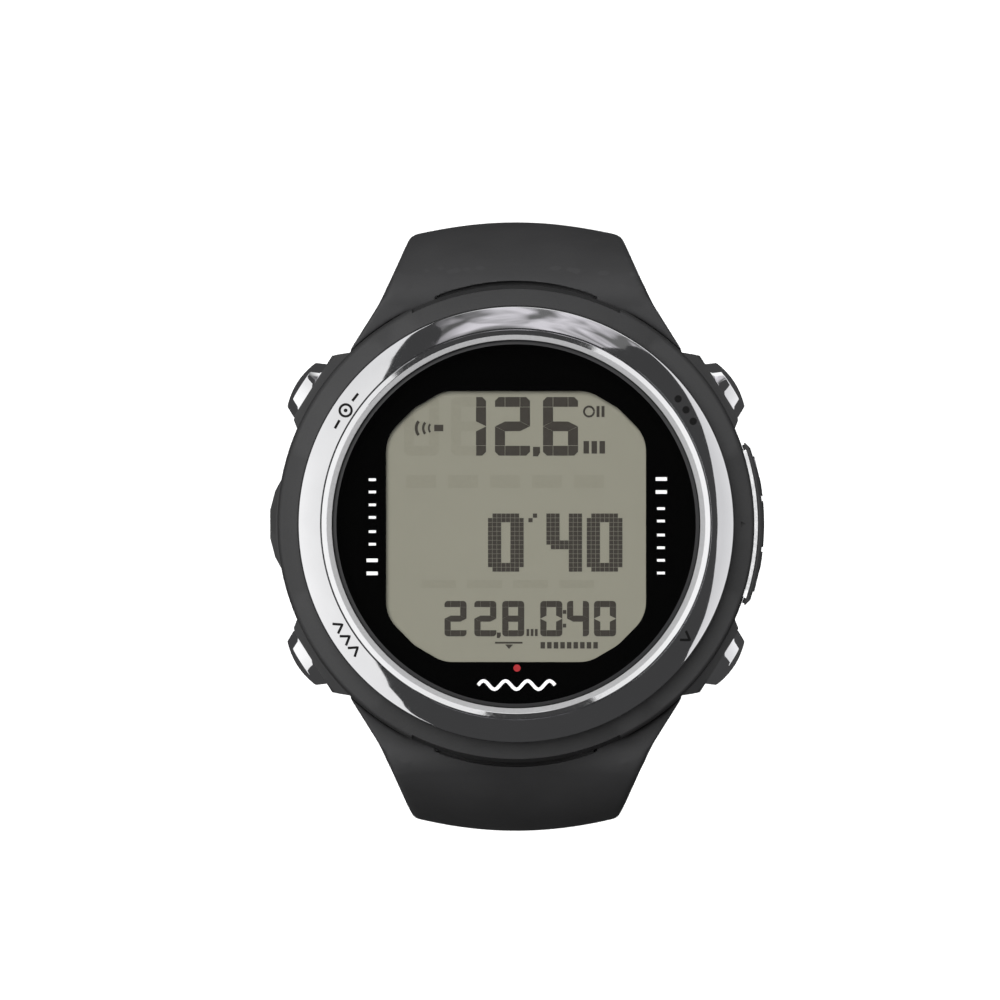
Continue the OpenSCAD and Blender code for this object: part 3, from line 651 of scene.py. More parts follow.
# ---- crystal ----

CRYSTAL_CHAMFER = 0.35
CRYSTAL_RINGS = 12


def make_crystal():
    """Flat glass with polished faces and a ground chamfer and edge."""
    low, high = low_high("crystal")
    r, top = high[0], high[2]
    face_r = r - CRYSTAL_CHAMFER
    profile = [(0, low[2]), (r, low[2]), (r, top - CRYSTAL_CHAMFER)]
    profile += [(face_r * (1 - i / CRYSTAL_RINGS), top) for i in range(CRYSTAL_RINGS + 1)]
    verts, faces = spun(profile, SEGMENTS_ROUND, lambda x, y, z: (x, y, z))
    ground = 2 * SEGMENTS_ROUND
    crystal = new_object("crystal_polished", verts, faces, [CRYSTAL, GROUND_GLASS],
                         [1] * ground + [0] * (len(faces) - ground))
    sharpen(crystal, 25)
    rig.replaces(crystal, "crystal")
    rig.slot(crystal, "crystal_glass")
    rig.ride(crystal, "case")


# ---- buttons and sensor trim ----

BUTTON_Z = (low_high("button_upper_right")[0][2] + top_of("button_upper_right")) / 2
BUTTON_ANGLES = {"upper_right": 33, "upper_left": 147, "lower_left": 213, "lower_right": 327}


STEM_R = 1.0
STEM_END = 16.6         # distances from the case axis, along the button
CAP_BASE = 23.4
CAP_R = 3.15
SPRING_SEAT = 24.4      # floor of the ring-shaped groove that the spring stands in
CONE_FROM = 24.72
CONE_TO = 25.52
FACE_R = 2.5
FACE_TOP = 26.1
FACE_DOME = 0.44
PRESS = 0.8             # the button's travel
SPRING_R = 2.1
SPRING_WIRE_R = 0.22
SPRING_FROM = 22.23
SPRING_TO = SPRING_SEAT - 0.03
SPRING_TURNS = 3


def at_button(angle):
    """Maps (across, up, distance from the case axis) at a button into the frame."""
    return lambda x, y, w: (w * cos(angle) - x * sin(angle), w * sin(angle) + x * cos(angle),
                            BUTTON_Z + y)


def button_profile():
    """(radius, distance from the case axis) from the stem's inner end to the domed face."""
    points = [(0, STEM_END), (STEM_R, STEM_END), (STEM_R, CAP_BASE), (1.6, CAP_BASE),
              (1.6, SPRING_SEAT), (2.6, SPRING_SEAT), (2.6, CAP_BASE), (CAP_R - 0.1, CAP_BASE),
              (CAP_R, CAP_BASE + 0.1), (CAP_R, CONE_FROM - 0.3), (CAP_R - 0.03, CONE_FROM - 0.14),
              (CAP_R - 0.1, CONE_FROM), (2.66, CONE_TO), (2.6, CONE_TO + 0.08), (FACE_R, CONE_TO + 0.14)]
    rings = 14
    for i in range(1, rings + 1):
        share = 1 - i / rings
        points.append((FACE_R * share, FACE_TOP - FACE_DOME * share ** 2))
    return points


def make_button(place, angle):
    """Polished push button with a conical side and a domed face."""
    button = new_object(f"button_polished_{place}", *spun(button_profile(), 72, at_button(angle)),
                        [BRIGHT_STEEL])
    sharpen(button, 35)
    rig.replaces(button, f"button_{place}")
    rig.slot(button, "polished_steel")
    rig.ride(button, f"button_{place}")


def make_spring(place, angle):
    """Coil behind a button; it shortens as the button goes in."""
    sides = 10
    steps = 24 * SPRING_TURNS
    first, last = SPRING_FROM + SPRING_WIRE_R, SPRING_TO - SPRING_WIRE_R
    to_frame = at_button(angle)
    rows = []
    for i in range(steps + 1):
        turn = 360 * SPRING_TURNS * i / steps
        wire = arc((SPRING_R, mix(first, last, i / steps)), SPRING_WIRE_R, 0, 360 - 360 / sides, sides - 1)
        rows.append([to_frame(r * cos(turn), r * sin(turn), w) for r, w in wire])
    spring = new_object(f"button_coil_{place}", *shell(rows), [SATIN_STEEL])
    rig.replaces(spring, f"button_spring_{place}")
    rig.slot(spring, "satin_steel")
    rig.ride(spring, "case")
    foot = [c * MM for c in to_frame(0, 0, SPRING_FROM)]
    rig.squash(spring, f"press_{place}", axis=(cos(angle), sin(angle), 0), anchor=foot,
              keep=1 - (PRESS + 0.02) / (SPRING_TO - SPRING_FROM))


TRIM_SPAN = (-16.0, 17.5)
TRIM_PLATE_TOP = 8.6    # above this only the lip stands


def make_sensor_trim():
    """Polished arc whose narrow lip slopes gently outwards between case and sensor cover."""
    low, high = low_high("sensor_trim")
    inner_r, lip_r, outer_r = 23.05, 23.82, 24.22
    profile = [(inner_r, low[2]), (outer_r, low[2]), (outer_r, high[2] - 0.1),
               (outer_r - 0.03, high[2] - 0.055), (lip_r + 0.03, high[2]), (lip_r, high[2] - 0.03),
               (lip_r, TRIM_PLATE_TOP), (inner_r, TRIM_PLATE_TOP)]
    steps = 48
    turns = [mix(*TRIM_SPAN, i / steps) for i in range(steps + 1)]
    rows = [[(r * cos(a), r * sin(a), z) for r, z in profile] for a in turns]
    trim = new_object("sensor_trim_polished", *shell(rows), [BRIGHT_STEEL])
    sharpen(trim, 15)
    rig.replaces(trim, "sensor_trim")
    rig.slot(trim, "polished_steel")
    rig.ride(trim, "case")


# ---- marks ----

def box_outline(x0, y0, x1, y1):
    return [(x0, y0), (x1, y0), (x1, y1), (x0, y1)]


def thick_line(points, width):
    """Outline of a polyline with square ends."""
    left = []
    right = []
    for i, (x, y) in enumerate(points):
        ax, ay = points[max(i - 1, 0)]
        bx, by = points[min(i + 1, len(points) - 1)]
        length = math.hypot(bx - ax, by - ay)
        nx, ny = -(by - ay) / length * width / 2, (bx - ax) / length * width / 2
        left.append((x + nx, y + ny))
        right.append((x - nx, y - ny))
    return left + right[::-1]


def ring_outline(x, y, radius, width, start=0, end=358, steps=24):
    return arc((x, y), radius + width / 2, start, end, steps) + \
        arc((x, y), radius - width / 2, end, start, steps)


def disc_outline(x, y, radius, steps=20):
    return arc((x, y), radius, 0, 360 - 360 / steps, steps - 1)


SEGMENTS = {
    "0": "TL a TR b c BR d BL e f", "1": "TR b c BR", "2": "TL a TR b g e BL d BR",
    "4": "TL f g TR b c BR", "6": "TL a TR f g e BL d BR c", "8": "TL a TR b c BR d BL e f g",
}


def segment_outlines(x, y, w, h, t, corner, gap):
    """The parts of a seven-segment figure whose lower left corner is at (x, y)."""
    mid = h / 2
    g = gap / 2

    def corner_block(sx, sy):
        """Square block with its outer corner cut or rounded; sx, sy are 0 or 1."""
        ox, oy = x + w * sx, y + h * sy
        dx, dy = 1 - 2 * sx, 1 - 2 * sy
        bend = [(ox + dx * corner * (1 - sin(a)), oy + dy * corner * (1 - cos(a)))
                for a in (0, 22.5, 45, 67.5, 90)]
        if corner < 0.4 * t:
            bend = [bend[0], bend[-1]]
        return bend + [(ox, oy + dy * (t - g)), (ox + dx * (t - g), oy + dy * (t - g)),
                       (ox + dx * (t - g), oy)]

    def upright(px, y_flat, y_point, outer):
        """Side segment with a slanted end that meets the middle bar's point."""
        sign = 1 if y_flat > y_point else -1
        inner_end = y_point + sign * t / 2
        left_end = y_point + sign * g if outer == "left" else inner_end
        right_end = inner_end if outer == "left" else y_point + sign * g
        flat = y_flat - sign * g
        return [(px, flat), (px, left_end), (px + t, right_end), (px + t, flat)]

    return {
        "TL": corner_block(0, 1), "TR": corner_block(1, 1),
        "BL": corner_block(0, 0), "BR": corner_block(1, 0),
        "a": box_outline(x + t + g, y + h - t + g, x + w - t - g, y + h),
        "d": box_outline(x + t + g, y, x + w - t - g, y + t - g),
        "f": upright(x, y + h - t, y + mid, "left"),
        "e": upright(x, y + t, y + mid, "left"),
        "b": upright(x + w - t, y + h - t, y + mid, "right"),
        "c": upright(x + w - t, y + t, y + mid, "right"),
        "g": [(x + g, y + mid), (x + t, y + mid + t / 2 - g), (x + w - t, y + mid + t / 2 - g),
              (x + w - g, y + mid), (x + w - t, y + mid - t / 2 + g), (x + t, y + mid - t / 2 + g)],
    }


def figure(character, x, **size):
    parts = segment_outlines(x, **size)
    return [parts[name] for name in SEGMENTS[character].split()]


DOT_FIGURES = {
    "0": ["01111110", "11111111"] + ["11100111"] * 9 + ["11111111", "01111110"],
    "4": ["11100111"] * 6 + ["11111111", "01111111"] + ["00000111"] * 5,
}


def dot_figure(character, x, top, pitch):
    """Dot-matrix figure from its rows of lit dots."""
    dots = []
    for row, lit in enumerate(DOT_FIGURES[character]):
        for column, on in enumerate(lit):
            if on == "1":
                x0 = x + column * pitch
                y0 = top - (row + 1) * pitch
                dots.append(box_outline(x0, y0, x0 + pitch * 0.93, y0 + pitch * 0.93))
    return dots


def comma(x, top, w, h):
    return [(x, top), (x + w, top), (x + w, top - 0.6 * h), (x + 0.7 * w, top - h), (x, top - h)]


BIG = dict(y=6.84, w=3.5, h=5.86, t=1.0, corner=0.38, gap=0.04)
SMALL = dict(y=-11.23, w=2.2, h=3.54, t=0.62, corner=0.34, gap=0.015)


def display_marks():
    """Everything lit on the display: depth, time, deepest depth and elapsed time."""
    marks = [comma(1.7, 7.72, 0.7, 0.95), comma(-1.92, -10.85, 0.4, 0.55)]
    for character, x in (("1", -6.5), ("2", -2.1), ("6", 2.7)):
        marks += figure(character, x, **BIG)
    for character, x in (("2", -7.15), ("2", -4.17), ("8", -1.38), ("0", 2.43), ("4", 5.1), ("0", 7.8)):
        marks += figure(character, x, **SMALL)
    pitch = 0.449
    row_x, row_top = -2.8, 1.08
    marks += dot_figure("0", row_x, row_top, pitch)
    for column, row in ((9, 2), (10, 1)):
        x0 = row_x + column * pitch
        marks.append(box_outline(x0, row_top - row * pitch, x0 + pitch * 0.93,
                                 row_top - (row - 0.93) * pitch))
    marks += dot_figure("4", row_x + 13 * pitch, row_top, pitch)
    marks += dot_figure("0", row_x + 22 * pitch, row_top, pitch)
    for y in (-8.98, -10.35):
        marks.append(box_outline(4.68, y, 5.02, y + 0.38))
    return marks + display_symbols()


def bar_row(count, x, pitch, width, low, high):
    return [box_outline(x + i * pitch, low, x + i * pitch + width, high) for i in range(count)]


def display_symbols():
    """Plain symbols in the places of the small labels."""
    marks = [box_outline(-8.18, 9.28, -7.27, 9.93)]
    for x, size, width in ((-9.98, 1.1, 0.3), (-9.28, 0.9, 0.25), (-8.72, 0.65, 0.2)):
        marks.append(ring_outline(x + size, 9.58, size, width, 141, 219, 8))
    # a ring and two bars beside the depth; three level bars in each place of the unit
    marks.append(ring_outline(7.3, 11.25, 0.5, 0.2))
    marks += bar_row(2, 8.05, 0.5, 0.3, 10.7, 11.8) + bar_row(3, 6.75, 0.8, 0.55, 7.05, 8.3)
    marks += bar_row(3, 1.05, 0.42, 0.27, -11.2, -10.5)
    # deepest-point sign: line with a triangle under it
    marks.append(box_outline(-2.1, -11.95, 0.65, -11.78))
    marks.append([(-1.1, -12.05), (-0.3, -12.05), (-0.7, -12.5)])
    # run-time sign: a row of short bars
    return marks + bar_row(9, 2.45, 0.66, 0.45, -12.45, -11.8)


def ghost_marks():
    """Unlit segments, hardly darker than the display."""
    ghosts = []
    for x in (-11.2, -6.5):
        ghosts += figure("8", x, **BIG)
    return ghosts + bar_row(5, -11.0, 4.2, 3.0, 3.6, 4.9) + bar_row(4, -9.5, 4.6, 3.5, -6.4, -5.6)


def flat_at(z):
    return lambda x, y, h: (x, y, z + h)


def make_display():
    lit = plates("lcd_segments", display_marks(), flat_at(LCD_TOP + 0.02), 0.02, LCD_INK)
    ghosts = plates("lcd_unlit_segments", ghost_marks(), flat_at(LCD_TOP + 0.004), 0.01, LCD_GHOST)
    for piece in (lit, ghosts):
        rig.slot(piece, "lcd")
        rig.ride(piece, "case")


WINDOW = ((13.0, 9.0), (10.2, 11.85), (7.3, 13.55))     # corners of a quarter of the window
WINDOW_SHIFT = -0.25
WINDOW_ROUND = 3.6
MASK_EDGE = ((0.12, MASK_TOP), (0.035, MASK_TOP - 0.035), (0, MASK_TOP - 0.12), (0, MASK_LOW))


def window_outline():
    """The display window, each corner replaced by an arc, anticlockwise."""
    corners = list(WINDOW) + [(-x, y) for x, y in WINDOW[::-1]]
    corners += [(-x, -y) for x, y in corners]
    outline = []
    for i, (x, y) in enumerate(corners):
        at = Vector((x, y))
        back = (Vector(corners[i - 1]) - at).normalized()
        on = (Vector(corners[(i + 1) % len(corners)]) - at).normalized()
        half = math.acos(back.dot(on)) / 2
        centre = at + (back + on).normalized() * WINDOW_ROUND / math.sin(half)
        for k in range(9):
            chord = at + back.lerp(on, k / 8) * WINDOW_ROUND / math.tan(half)
            bend = centre + (chord - centre).normalized() * WINDOW_ROUND
            outline.append((bend.x, bend.y + WINDOW_SHIFT))
    fine = []
    for (ax, ay), (bx, by) in zip(outline, outline[1:] + outline[:1]):
        steps = max(1, math.ceil(math.hypot(bx - ax, by - ay) / 0.3))
        fine += [(mix(ax, bx, k / steps), mix(ay, by, k / steps)) for k in range(steps)]
    return fine


def make_mask():
    """Black mask whose window has a small round edge above the display."""
    rows = []
    for x, y in window_outline():
        r = math.hypot(x, y)
        out = (x / r, y / r)
        row = [(out[0] * MASK_R, out[1] * MASK_R, z) for z in (MASK_LOW, MASK_TOP)]
        for back, z in MASK_EDGE:
            row.append((x + out[0] * back, y + out[1] * back, z))
        rows.append(row)
    mask = new_object("mask_with_window", *shell(rows, close_rows=True), [MASK_INK])
    sharpen(mask, 30)
    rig.replaces(mask, "dial_mask")
    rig.slot(mask, "display_mask")
    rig.ride(mask, "case")


# Scale marks as (left end, right end, half height, heights).
DIAL_BARS = (
    (-14.94, -13.82, 0.18, (-3.63, -4.93)),
    (-14.72, -14.0, 0.13, (4.43, 3.2, 1.92, 0.66, -0.76, -2.02)),
    (13.96, 15.09, 0.18, (4.5, 3.2)),
    (14.1, 14.88, 0.13, (1.54, 0.3, -1.1, -2.37, -3.63, -4.9)),
)


def make_dial_print():
    """White scale marks on both sides, a wave under the display and a small red dot."""
    place = flat_at(MASK_TOP + 0.004)
    marks = [box_outline(x0, y - half, x1, y + half) for x0, x1, half, heights in DIAL_BARS
             for y in heights]
    wave = [(mix(-3.8, 3.9, i / 60), -16.1 + 0.42 * sin(360 * 3.5 * i / 60)) for i in range(61)]
    marks.append(thick_line(wave, 0.34))
    # the white marks carry painted glow: their ink gives off light of its own
    white = plates("dial_scale_print", marks, place, 0.01, WHITE_INK_PAINTED_GLOW)
    red = plates("dial_red_dot", [disc_outline(0.1, -14.4, 0.36)], place, 0.01, RED_INK)
    for piece in (white, red):
        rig.slot(piece, "display_mask")
        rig.ride(piece, "case")


def on_band(angle, middle_r=20.45):
    """Maps a mark onto the band: x runs clockwise as seen from the front, y outwards."""
    def place(x, y):
        r = middle_r + y
        turned = angle - math.degrees(x / middle_r)
        return (r * cos(turned), r * sin(turned), band_height(r) + 0.003)
    return place


def ribbon(points, width, closed=False):
    """Fine grid of quads along a line, as (rows of points, closed)."""
    fine = []
    count = len(points) if closed else len(points) - 1
    for i in range(count):
        (ax, ay), (bx, by) = points[i], points[(i + 1) % len(points)]
        steps = max(1, math.ceil(math.hypot(bx - ax, by - ay) / 0.12))
        fine += [(mix(ax, bx, k / steps), mix(ay, by, k / steps)) for k in range(steps)]
    if not closed:
        fine.append(points[-1])
    rows = []
    n = len(fine)
    for i, (x, y) in enumerate(fine):
        ax, ay = fine[i - 1] if closed or i else fine[0]
        bx, by = fine[(i + 1) % n] if closed or i < n - 1 else fine[-1]
        length = math.hypot(bx - ax, by - ay)
        nx, ny = -(by - ay) / length * width, (bx - ax) / length * width
        rows.append([(x + nx * k, y + ny * k) for k in (-0.5, -0.25, 0, 0.25, 0.5)])
    return rows, closed


def ribbon_mesh(name, ribbons, place, material):
    """Inlay of ribbons laid on a surface, given a little thickness."""
    verts = []
    faces = []
    for rows, closed in ribbons:
        first = len(verts)
        across = len(rows[0])
        verts += [place(x, y) for row in rows for x, y in row]
        for i in range(len(rows) if closed else len(rows) - 1):
            j = (i + 1) % len(rows)
            for k in range(across - 1):
                faces.append(tuple(first + v for v in (i * across + k, i * across + k + 1,
                                                       j * across + k + 1, j * across + k)))
    inlay = new_object(name, verts, faces, [material])
    thicken = inlay.modifiers.new("thickness", "SOLIDIFY")
    thicken.thickness = 0.008 * MM
    thicken.offset = 0
    return bake_modifiers(inlay)


def ring_ribbon(x, y, radius, width):
    return ribbon(arc((x, y), radius, 0, 345, 23), width, closed=True)


def make_bezel_marks():
    """A plain sign by each button: ring with dashes, three dots, three chevrons, one chevron."""
    def chevron(x, y):
        return ribbon([(x - 0.55, y), (x, -y), (x + 0.55, y)], 0.25)

    def dot(x):
        return ring_ribbon(x, 0, 0.19, 0.36)

    dashes = [ribbon([(side * 1.15, 0), (side * 2.1, 0)], 0.26) for side in (-1, 1)]
    signs = {
        146.3: [ring_ribbon(0, 0, 0.6, 0.24), ring_ribbon(0, 0, 0.1, 0.18)] + dashes,
        33.9: [dot(x) for x in (-1.35, 0, 1.35)],
        214.0: [chevron(x, 0.42) for x in (-1.4, 0.0, 1.4)],
        -33.7: [chevron(0, -0.42)],
    }
    for i, (angle, ribbons) in enumerate(signs.items()):
        sign = ribbon_mesh(f"bezel_sign_{i + 1}", ribbons, on_band(angle), ENGRAVING)
        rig.slot(sign, "display_mask")
        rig.ride(sign, "case")


# ---- strap ----

STRAP_END_R = 3.4
LEAVE = 44.0            # where the strap leaves its round end
STRAP_HALF = 10.2
KNEE_T = 3.8
TIP_T = 3.2
CROWN = 1.35            # how far the middle of the outer face stands above its edges
EDGE_R = 0.45
CROWN_FADE = (24, 18)   # the crown fades out from this far along the strap, over this length
RIB_FROM = 22           # where the ribs of the wrist face start
RIB_PITCH = 4.2
RIB_DEPTH = 0.45
STRAP_VOXEL = 0.24      # grain of the mesh that fuses the strap's shells
FLEX_LENGTH = 11.4      # below the pin the strap bends over this height when it swings
PLAN = ((17.4, 16.25), (22.8, 13.25), (28.1, 10.97), (29.2, 10.45), (31.5, 10.2))
SCOOP_REACH = 24.36     # middle of the scooped edge in front of the case
PLAN_FROM_Z = -3.0      # under this height the strap narrows to its even width


def bend_step(start, h0, radius, h1):
    """End of a bend; a heading is the angle from straight down towards the wrist."""
    return (start[0] - radius * (cos(h0) - cos(h1)), start[1] - radius * (sin(h1) - sin(h0)))


def plan_half(u):
    """Half width of the strap seen from above, at a distance u from the case axis."""
    for (u0, w0), (u1, w1) in zip(PLAN, PLAN[1:]):
        if u <= u1:
            return mix(w0, w1, (u - u0) / (u1 - u0))
    return STRAP_HALF


def strap_path(bends, flat_to=None):
    """Stations (u, z, heading) along the outer face from the round end to the tip."""
    start = (PIN_Y + STRAP_END_R * sin(LEAVE), PIN_Z + STRAP_END_R * cos(LEAVE))
    knee = (STRAP_REACH - start[0]) / (1 - sin(LEAVE))
    heading = LEAVE - 90
    stations = [(*start, heading)]
    for radius, end in [(knee, 0)] + bends:
        steps = max(2, int(radius * math.radians(end - heading) / 0.8))
        origin = stations[-1][:2]
        for i in range(1, steps + 1):
            h = mix(heading, end, i / steps)
            stations.append((*bend_step(origin, heading, radius, h), h))
        heading = end
    if flat_to is not None:
        u0, z0, h0 = stations[-1]
        steps = int((u0 - flat_to) / 0.8)
        stations += [(mix(u0, flat_to, i / steps), z0, h0) for i in range(1, steps + 1)]
    return stations


def strap_section(station, along, length, knee_lift, tip):
    """One closed loop round the strap: crowned outer face, round edges, ribbed wrist face."""
    u, z, heading = station
    knee_share = min(1.0, max(0.0, (heading + 90 - LEAVE) / (90 - LEAVE)))
    thick = mix(2 * STRAP_END_R, KNEE_T, knee_share)
    if heading > 0:
        thick = mix(KNEE_T, TIP_T, smooth((along - 17) / 20))
    half = STRAP_HALF
    left = length - along
    if tip and left < STRAP_HALF:
        half = max(0.6, math.sqrt(max(0.0, STRAP_HALF ** 2 - (STRAP_HALF - left) ** 2)))
    fade = 1 - smooth((along - CROWN_FADE[0]) / CROWN_FADE[1])
    crown = mix(0.4, CROWN, fade) * knee_share
    lift = knee_lift * fade * knee_share
    edge = min(mix(0.8, EDGE_R, fade), half * 0.6, thick * 0.42)
    rib = 0.0
    if along > RIB_FROM and left > 4:
        wave = abs(math.sin(math.pi * (along - RIB_FROM) / RIB_PITCH))
        rib = RIB_DEPTH * smooth(2.2 * wave - 0.9)

    def corner(side, level, angles):
        return [(side * (half - edge) + edge * cos(a), level + edge * sin(a)) for a in angles]

    steps = 20
    high, low = lift - crown - edge, edge - thick
    across = [mix(-half + edge, half - edge, i / steps) for i in range(steps + 1)]
    loop = [(x, lift - crown * (x / half) ** 2) for x in across]
    loop += corner(1, high, (67.5, 45, 22.5, 0)) + corner(1, low, (0, -30, -60, -90))
    loop += [(x, -thick + rib * smooth((half - 1.6 - abs(x)) / 0.8)) for x in across[-2:0:-1]]
    loop += corner(-1, low, (-90, -120, -150, -180)) + corner(-1, high, (180, 157.5, 135, 112.5))
    points = []
    for x, n in loop:
        at_u, at_z = u + cos(heading) * n, z - sin(heading) * n
        widen = mix(plan_half(at_u), STRAP_HALF, smooth((PLAN_FROM_Z - at_z) / 6)) / STRAP_HALF
        points.append((x * widen, at_u, at_z))
    return points


def strap_end():
    """The strap's round end, across the full width of its plan, with round edges."""
    rim = ((1, 0.7), (0.985, 0.25), (0.96, 0.05), (0.9, 0), (0.3, 0))
    steps = 64
    rows = []
    for share, shrink in [(-share, shrink) for share, shrink in rim] + list(rim[::-1]):
        round_end = arc((PIN_Y, PIN_Z), STRAP_END_R - shrink, 0, 360 - 360 / steps, steps - 1)
        rows.append([(share * plan_half(u), u, z) for u, z in round_end])
    return shell(rows)


def strap_cheek(side):
    """The strap's shoulder beside the case, from the round end along the case wall."""
    wall = CASE_R + 0.03
    outline = [(PLAN[0][1] + 0.6, 17.05), (plan_half(PIN_Y), PIN_Y), (plan_half(24.5) - 2, 24.5)]
    outline += [(wall * cos(a), wall * sin(a)) for a in (68, 63, 58, 53, 49, 45.8)]
    levels = ((2.4, 0.6), (2.9, 0.15), (3.6, 0.0), (7.6, 0.0), (8.3, 0.1), (8.7, 0.5))
    middle = (13.6, 20.6)
    rows = []
    for z, shrink in levels:
        k = 1 - shrink / 4
        rows.append([(side * mix(middle[0], x, k), mix(middle[1], u, k), z) for x, u in outline])
    return shell(rows)


def cutter(name, radius, length, matrix, segments=40):
    """A cylinder that is cut away from a moulding."""
    work = bmesh.new()
    bmesh.ops.create_cone(work, cap_ends=True, segments=segments, radius1=radius * MM,
                          radius2=radius * MM, depth=length * MM)
    mesh = bpy.data.meshes.new(name)
    work.to_mesh(mesh)
    work.free()
    obj = placed(name, mesh)
    obj.matrix_world = matrix
    return obj


def across_at(u, z):
    return Matrix.Translation((0, u * MM, z * MM)) @ Matrix.Rotation(math.pi / 2, 4, "Y")


def upright_at(u, z, tilt=0.0):
    return Matrix.Translation((0, u * MM, z * MM)) @ Matrix.Rotation(math.radians(tilt), 4, "X")


def cut_away(obj, cutters):
    for tool in cutters:
        step = obj.modifiers.new("cut", "BOOLEAN")
        step.operation = "DIFFERENCE"
        step.solver = "EXACT"
        step.object = tool
    bake_modifiers(obj)
    for tool in cutters:
        bpy.data.objects.remove(tool)


def join_shells(name, shells, material):
    verts = []
    faces = []
    for points, polygons in shells:
        first = len(verts)
        verts += points
        faces += [tuple(first + i for i in p) for p in polygons]
    return new_object(name, verts, faces, [material])


def soften(obj, material):
    """Fuses an object's shells and rounds its edges, as a moulding is."""
    remesh = obj.modifiers.new("fuse", "REMESH")
    remesh.mode = "VOXEL"
    remesh.voxel_size = STRAP_VOXEL * MM
    remesh.use_smooth_shade = True
    relax = obj.modifiers.new("relax", "SMOOTH")
    relax.factor = 0.5
    relax.iterations = 2
    bake_modifiers(obj)
    obj.data.materials.clear()
    obj.data.materials.append(material)


def path_length(stations):
    return [sum(math.dist(stations[i][:2], stations[i + 1][:2]) for i in range(k))
            for k in range(len(stations))]


def make_strap(name, node, body, stations, cutters, knee_lift, tail=False):
    """Half a strap from its stations; the tail half is made at 12 o'clock and mirrored."""
    lengths = path_length(stations)
    rows = [strap_section(station, along, lengths[-1], knee_lift, tail)
            for station, along in zip(stations, lengths)]
    strap = join_shells(name, [shell(rows), strap_end(), strap_cheek(-1), strap_cheek(1)], ELASTOMER)
    soften(strap, ELASTOMER)
    cut_away(strap, cutters)
    side = -1 if tail else 1
    if tail:
        strap.data.transform(Matrix.Scale(-1, 4, (0, 1, 0)))
        strap.data.flip_normals()
    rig.replaces(strap, node)
    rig.slot(strap, "strap_elastomer")
    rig.blend(strap, "case", body, start=(0, side * PIN_Y * MM, PIN_Z * MM),
             end=(0, side * PIN_Y * MM, (PIN_Z - FLEX_LENGTH) * MM))


LUG_SLOT_R = 2.4
LUG_SLOT_W = 16.2
SCOOP_R = 21.6
SCOOP_HALF = 8.1
LUG_PIN_R = 0.95
BUCKLE_PIN_R = 0.85


def lug_cutters():
    """Room for the lug, the scooped edge in front of it, and the pin bore."""
    slot = cutter("slot", LUG_SLOT_R, LUG_SLOT_W, across_at(PIN_Y, PIN_Z))
    scoop = cutter("scoop", SCOOP_R, 24, upright_at(SCOOP_REACH - SCOOP_R, 6), 192)
    for v in scoop.data.vertices:
        v.co.x = max(-SCOOP_HALF * MM, min(SCOOP_HALF * MM, v.co.x))
    return [slot, scoop, cutter("bore", LUG_PIN_R, 40, across_at(PIN_Y, PIN_Z))]


def hole(u, z, tilt=0.0):
    return cutter("hole", 1.4, 12, upright_at(u, z, tilt))


BUCKLE_BENDS = [(60.0, 8.0), (30.0, 76.0)]
TAIL_BEND = (210.0, 9.0)


def buckle_side():
    """Strap half at 12 o'clock, with a slot for the tongue and the buckle pin's bore."""
    cutters = lug_cutters()
    cutters.append(cutter("tongue_slot", 3.2, 3.6, across_at(BUCKLE_Y, BUCKLE_Z)))
    cutters.append(cutter("pin_bore", BUCKLE_PIN_R, 40, across_at(BUCKLE_Y, BUCKLE_Z)))
    make_strap("strap_moulding_buckle", "strap_buckle_side", "strap_buckle",
               strap_path(BUCKLE_BENDS), cutters, knee_lift=0.45)


def tail_side():
    """Strap half at 6 o'clock: it curls to the floor and runs flat under the case, with holes."""
    bend_end = strap_path([TAIL_BEND])[-1]
    curl_r = (bend_end[1] - FLOOR_Z) / (1 - sin(TAIL_BEND[1]))
    stations = strap_path([TAIL_BEND, (curl_r, 90.0)], flat_to=-TAIL_END_Y)
    flat_start = bend_step(bend_end[:2], TAIL_BEND[1], curl_r, 90)
    centre = (flat_start[0], flat_start[1] + curl_r)
    pitch = 6.0
    cutters = lug_cutters()
    for i in range(6):
        cutters.append(hole(pitch - TAIL_END_Y + pitch * i, FLOOR_Z))
    for i in (1, 2):
        heading = 90 - math.degrees(pitch * i / curl_r)
        at = (centre[0] + curl_r * cos(heading), centre[1] - curl_r * sin(heading))
        cutters.append(hole(*at, -90 - heading))
    make_strap("strap_moulding_tail", "strap_tail_side", "strap_tail", stations, cutters,
               knee_lift=1.0, tail=True)


def rounded_loop(half_x, low, high, radius, steps):
    """Points round a rectangle with round corners."""
    loop = []
    for cx, cy, start in ((half_x - radius, high - radius, 90), (-half_x + radius, high - radius, 180),
                          (-half_x + radius, low + radius, 270), (half_x - radius, low + radius, 360)):
        loop += arc((cx, cy), radius, start - 90, start, steps)
    return loop


